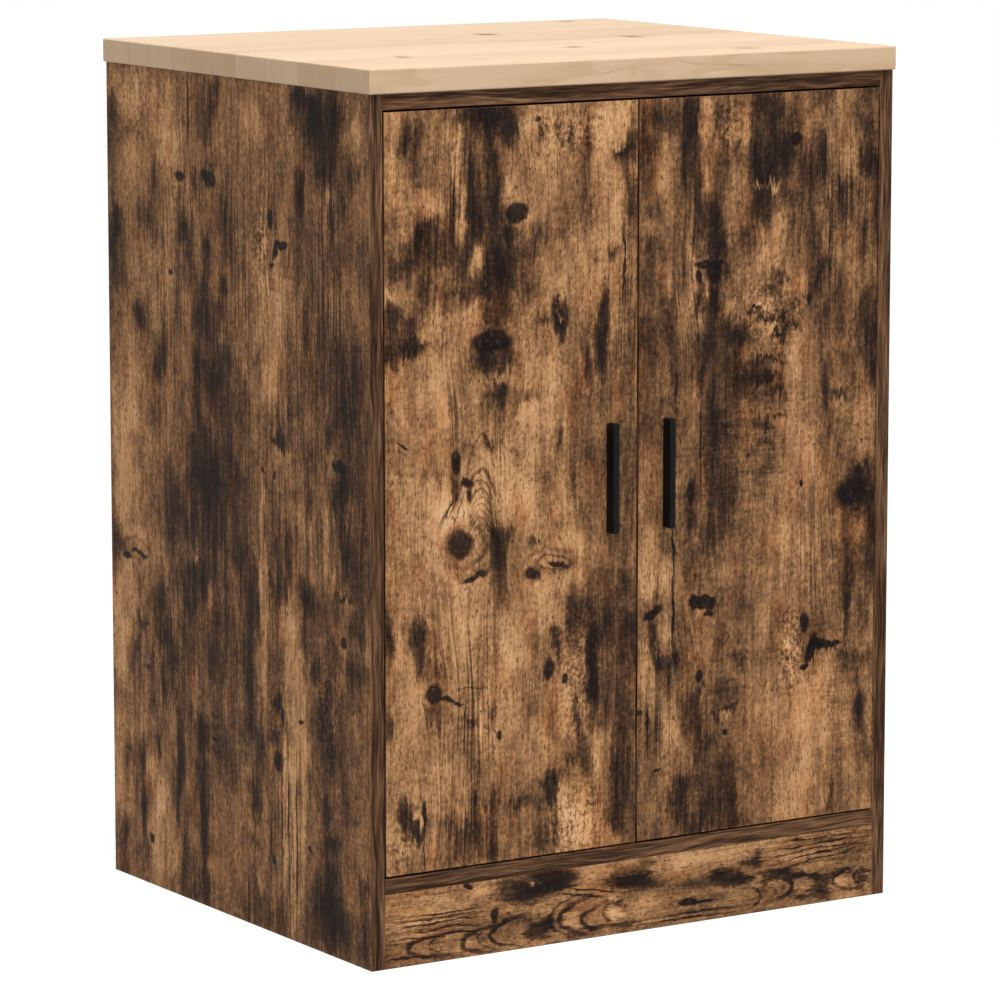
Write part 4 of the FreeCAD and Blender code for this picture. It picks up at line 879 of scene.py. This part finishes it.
def metalFinish(name, look):
    finish, tree, skin = newFinish(name)
    marks = addGroup(smudgeGroup, {"Vector": objectPlace(tree)["Object"], "Size": look["smudgeSize"]})
    rough = plus(look["rough"], centred(marks["Smudge"], look["roughSwing"]),
                 centred(marks["Draw"], smudgeLook["drawRough"]))
    colour = layer(rise(marks["Smudge"], *cloudLimits), look["dark"], look["light"])
    feed(skin, {"Base Color": colour, "Roughness": rough, "Metallic": look["metallic"],
                "Specular IOR Level": look["gloss"],
                "Normal": relief(marks[look["relief"]], look["reliefDepth"], smudgeLook["reliefStrength"])})
    return finish


screws = [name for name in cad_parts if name.endswith("_screws")]
hingeParts = [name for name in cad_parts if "_hinge_" in name and name not in screws]
drawnMetal = {"metallic": 1.0, "gloss": 0.5, "relief": "Draw", "reliefDepth": 0.00003}
metals = {
    "blackPowderCoat": {"dark": tone(11, 11, 12), "light": tone(18, 18, 19), "rough": 0.5, "roughSwing": 0.12,
                        "metallic": 0.0, "gloss": 0.12, "smudgeSize": 0.02, "relief": "Grit",
                        "reliefDepth": 0.00012, "nodes": ["left_handle", "right_handle"]},
    "nickelHingeSteel": {**drawnMetal, "dark": tone(176, 174, 170), "light": tone(205, 203, 198), "rough": 0.27,
                         "roughSwing": 0.14, "smudgeSize": 0.008, "nodes": hingeParts},
    "zincScrew": {**drawnMetal, "dark": tone(164, 166, 166), "light": tone(200, 198, 186), "rough": 0.32,
                  "roughSwing": 0.16, "smudgeSize": 0.004, "nodes": screws},
    "castZinc": {**drawnMetal, "dark": tone(132, 133, 134), "light": tone(168, 168, 166), "rough": 0.45,
                 "roughSwing": 0.15, "smudgeSize": 0.005, "relief": "Grit", "reliefDepth": 0.00008,
                 "nodes": ["cam_bolts", "cam_locks"]},
    "brightPin": {**drawnMetal, "dark": tone(182, 182, 180), "light": tone(214, 213, 208), "rough": 0.24,
                  "roughSwing": 0.1, "smudgeSize": 0.004, "nodes": ["lower_shelf_pins", "upper_shelf_pins"]},
}
for finishName, look in metals.items():
    dress(metalFinish(finishName, look), *look["nodes"])

hardboardLook = {"dark": (104, 74, 48), "light": (150, 112, 76), "fibre": ((0.0016, 0.0016, 0.0016), 4, 0.7),
                 "strands": ((0.004, 0.01, 0.0012), 2, 0.6), "blotch": ((0.05, 0.05, 0.05), 3),
                 "fibreSwing": 0.9, "strandSwing": 0.4, "blotchSwing": 0.5, "tone": 0.5, "toneLimits": (0.1, 0.9),
                 "specular": 0.2, "rough": 0.6, "roughSwing": 0.2, "reliefDepth": 0.0002}


def hardboardFinish(name, look):
    finish, tree, skin = newFinish(name)
    place = objectPlace(tree)["Object"]
    fibre, strands, blotch = (cloud(place, *look[part]) for part in ("fibre", "strands", "blotch"))
    value = plus(look["tone"], centred(fibre, look["fibreSwing"]), centred(strands, look["strandSwing"]),
                 centred(blotch, look["blotchSwing"]))
    feed(skin, {"Base Color": ramp(value, list(zip(look["toneLimits"], (look["dark"], look["light"])))),
                "Roughness": plus(look["rough"], centred(fibre, look["roughSwing"])),
                "Specular IOR Level": look["specular"], "Normal": relief(fibre, look["reliefDepth"])})
    return finish


dowelLook = {"dark": tone(186, 146, 104), "light": tone(216, 182, 142), "rayTone": tone(150, 108, 72),
             "grain": ((0.02, 0.0008, 0.0008), 3, 0.6), "rays": ((0.003, 0.0006, 0.0006), 1),
             "rayLimits": (0.62, 0.72, 0.0, 0.5), "rough": 0.6, "roughSwing": 0.2, "reliefDepth": 0.0002}


def dowelFinish(name, look):
    finish, tree, skin = newFinish(name)
    place = objectPlace(tree)["Object"]
    grain = cloud(place, *look["grain"])
    rays = rise(cloud(place, *look["rays"]), *look["rayLimits"])
    wood = layer(rise(grain, *cloudLimits), look["dark"], look["light"])
    feed(skin, {"Base Color": layer(rays, wood, look["rayTone"]),
                "Roughness": plus(look["rough"], centred(grain, look["roughSwing"])),
                "Normal": relief(grain, look["reliefDepth"])})
    return finish


dress(hardboardFinish("brownHardboard", hardboardLook), "back_panel")
dress(dowelFinish("beechDowel", dowelLook), "wood_dowels")
print("fittings dressed")


# floor, light and camera

stageLook = {"floorSize": 60.0, "floorColour": (0.6, 0.6, 0.6, 1.0), "glow": 0.865, "shadowShare": 0.25,
             "worldLight": 0.55, "keyPower": 178.0, "keyPlace": (-0.5, -1.8, 4.6), "keySize": 2.4,
             "keyAim": (0.0, -0.1, 0.45)}


def backdropRays(tree):  # 1 for what the camera sees, also in a shiny face
    path = startNode(tree, "LightPath", {}).outputs
    return calc("ADD", plus(path["Is Camera Ray"], path["Is Glossy Ray"]),
                path["Is Transmission Ray"], clamp=True)


def layFloor(look):
    bpy.ops.mesh.primitive_plane_add(size=look["floorSize"], location=(0, 0, 0))
    floor = bpy.context.object
    floor.name = "floor"
    finish = bpy.data.materials.new("paleFloor")
    tree = emptyTree(finish)
    seen = backdropRays(tree)
    paint = startNode(tree, "BsdfDiffuse", {"Color": look["floorColour"]})
    share = look["shadowShare"]
    faint = startNode(tree, "BsdfDiffuse", {"Color": (share, share, share, 1.0)})
    glow = startNode(tree, "Emission", {"Color": (1, 1, 1, 1), "Strength": look["glow"]})
    white = addNode("AddShader", {0: faint.outputs[0], 1: glow.outputs[0]})
    mixed = addNode("MixShader", {0: seen, 1: paint.outputs[0], 2: white.outputs[0]})
    addNode("OutputMaterial", {"Surface": mixed.outputs[0]})
    floor.data.materials.append(finish)


def lightRoom(look):
    world = bpy.data.worlds.new("paleRoom")
    scene.world = world
    tree = emptyTree(world)
    strength = blendValue(backdropRays(tree), look["worldLight"], 1.0)
    sky = addNode("Background", {"Color": (1, 1, 1, 1), "Strength": strength})
    addNode("OutputWorld", {"Surface": sky.outputs[0]})
    lamp = bpy.data.lights.new("keySoftbox", "AREA")
    lamp.shape, lamp.size, lamp.energy = "DISK", look["keySize"], look["keyPower"]
    key = bpy.data.objects.new("keySoftbox", lamp)
    scene.collection.objects.link(key)
    key.location = look["keyPlace"]
    aim = Vector(look["keyAim"]) - key.location
    key.rotation_euler = aim.to_track_quat("-Z", "Y").to_euler()


cameraLook = {"place": (-2.7199, -4.2683, 1.1865), "turn": 32.533, "dip": 8.937, "lens": 184.64, "sensor": 36.0,
              "farthest": 200.0}


def setCamera(look):
    data = bpy.data.cameras.new("photoCamera")
    data.lens, data.sensor_width, data.sensor_fit = look["lens"], look["sensor"], "AUTO"
    data.clip_end = look["farthest"]
    camera = bpy.data.objects.new("photoCamera", data)
    scene.collection.objects.link(camera)
    camera.location = look["place"]
    camera.rotation_euler = (math.radians(90 - look["dip"]), 0.0, math.radians(-look["turn"]))
    scene.camera = camera


layFloor(stageLook)
lightRoom(stageLook)
setCamera(cameraLook)
scene.view_settings.view_transform = "Standard"
print("floor, light and camera set")
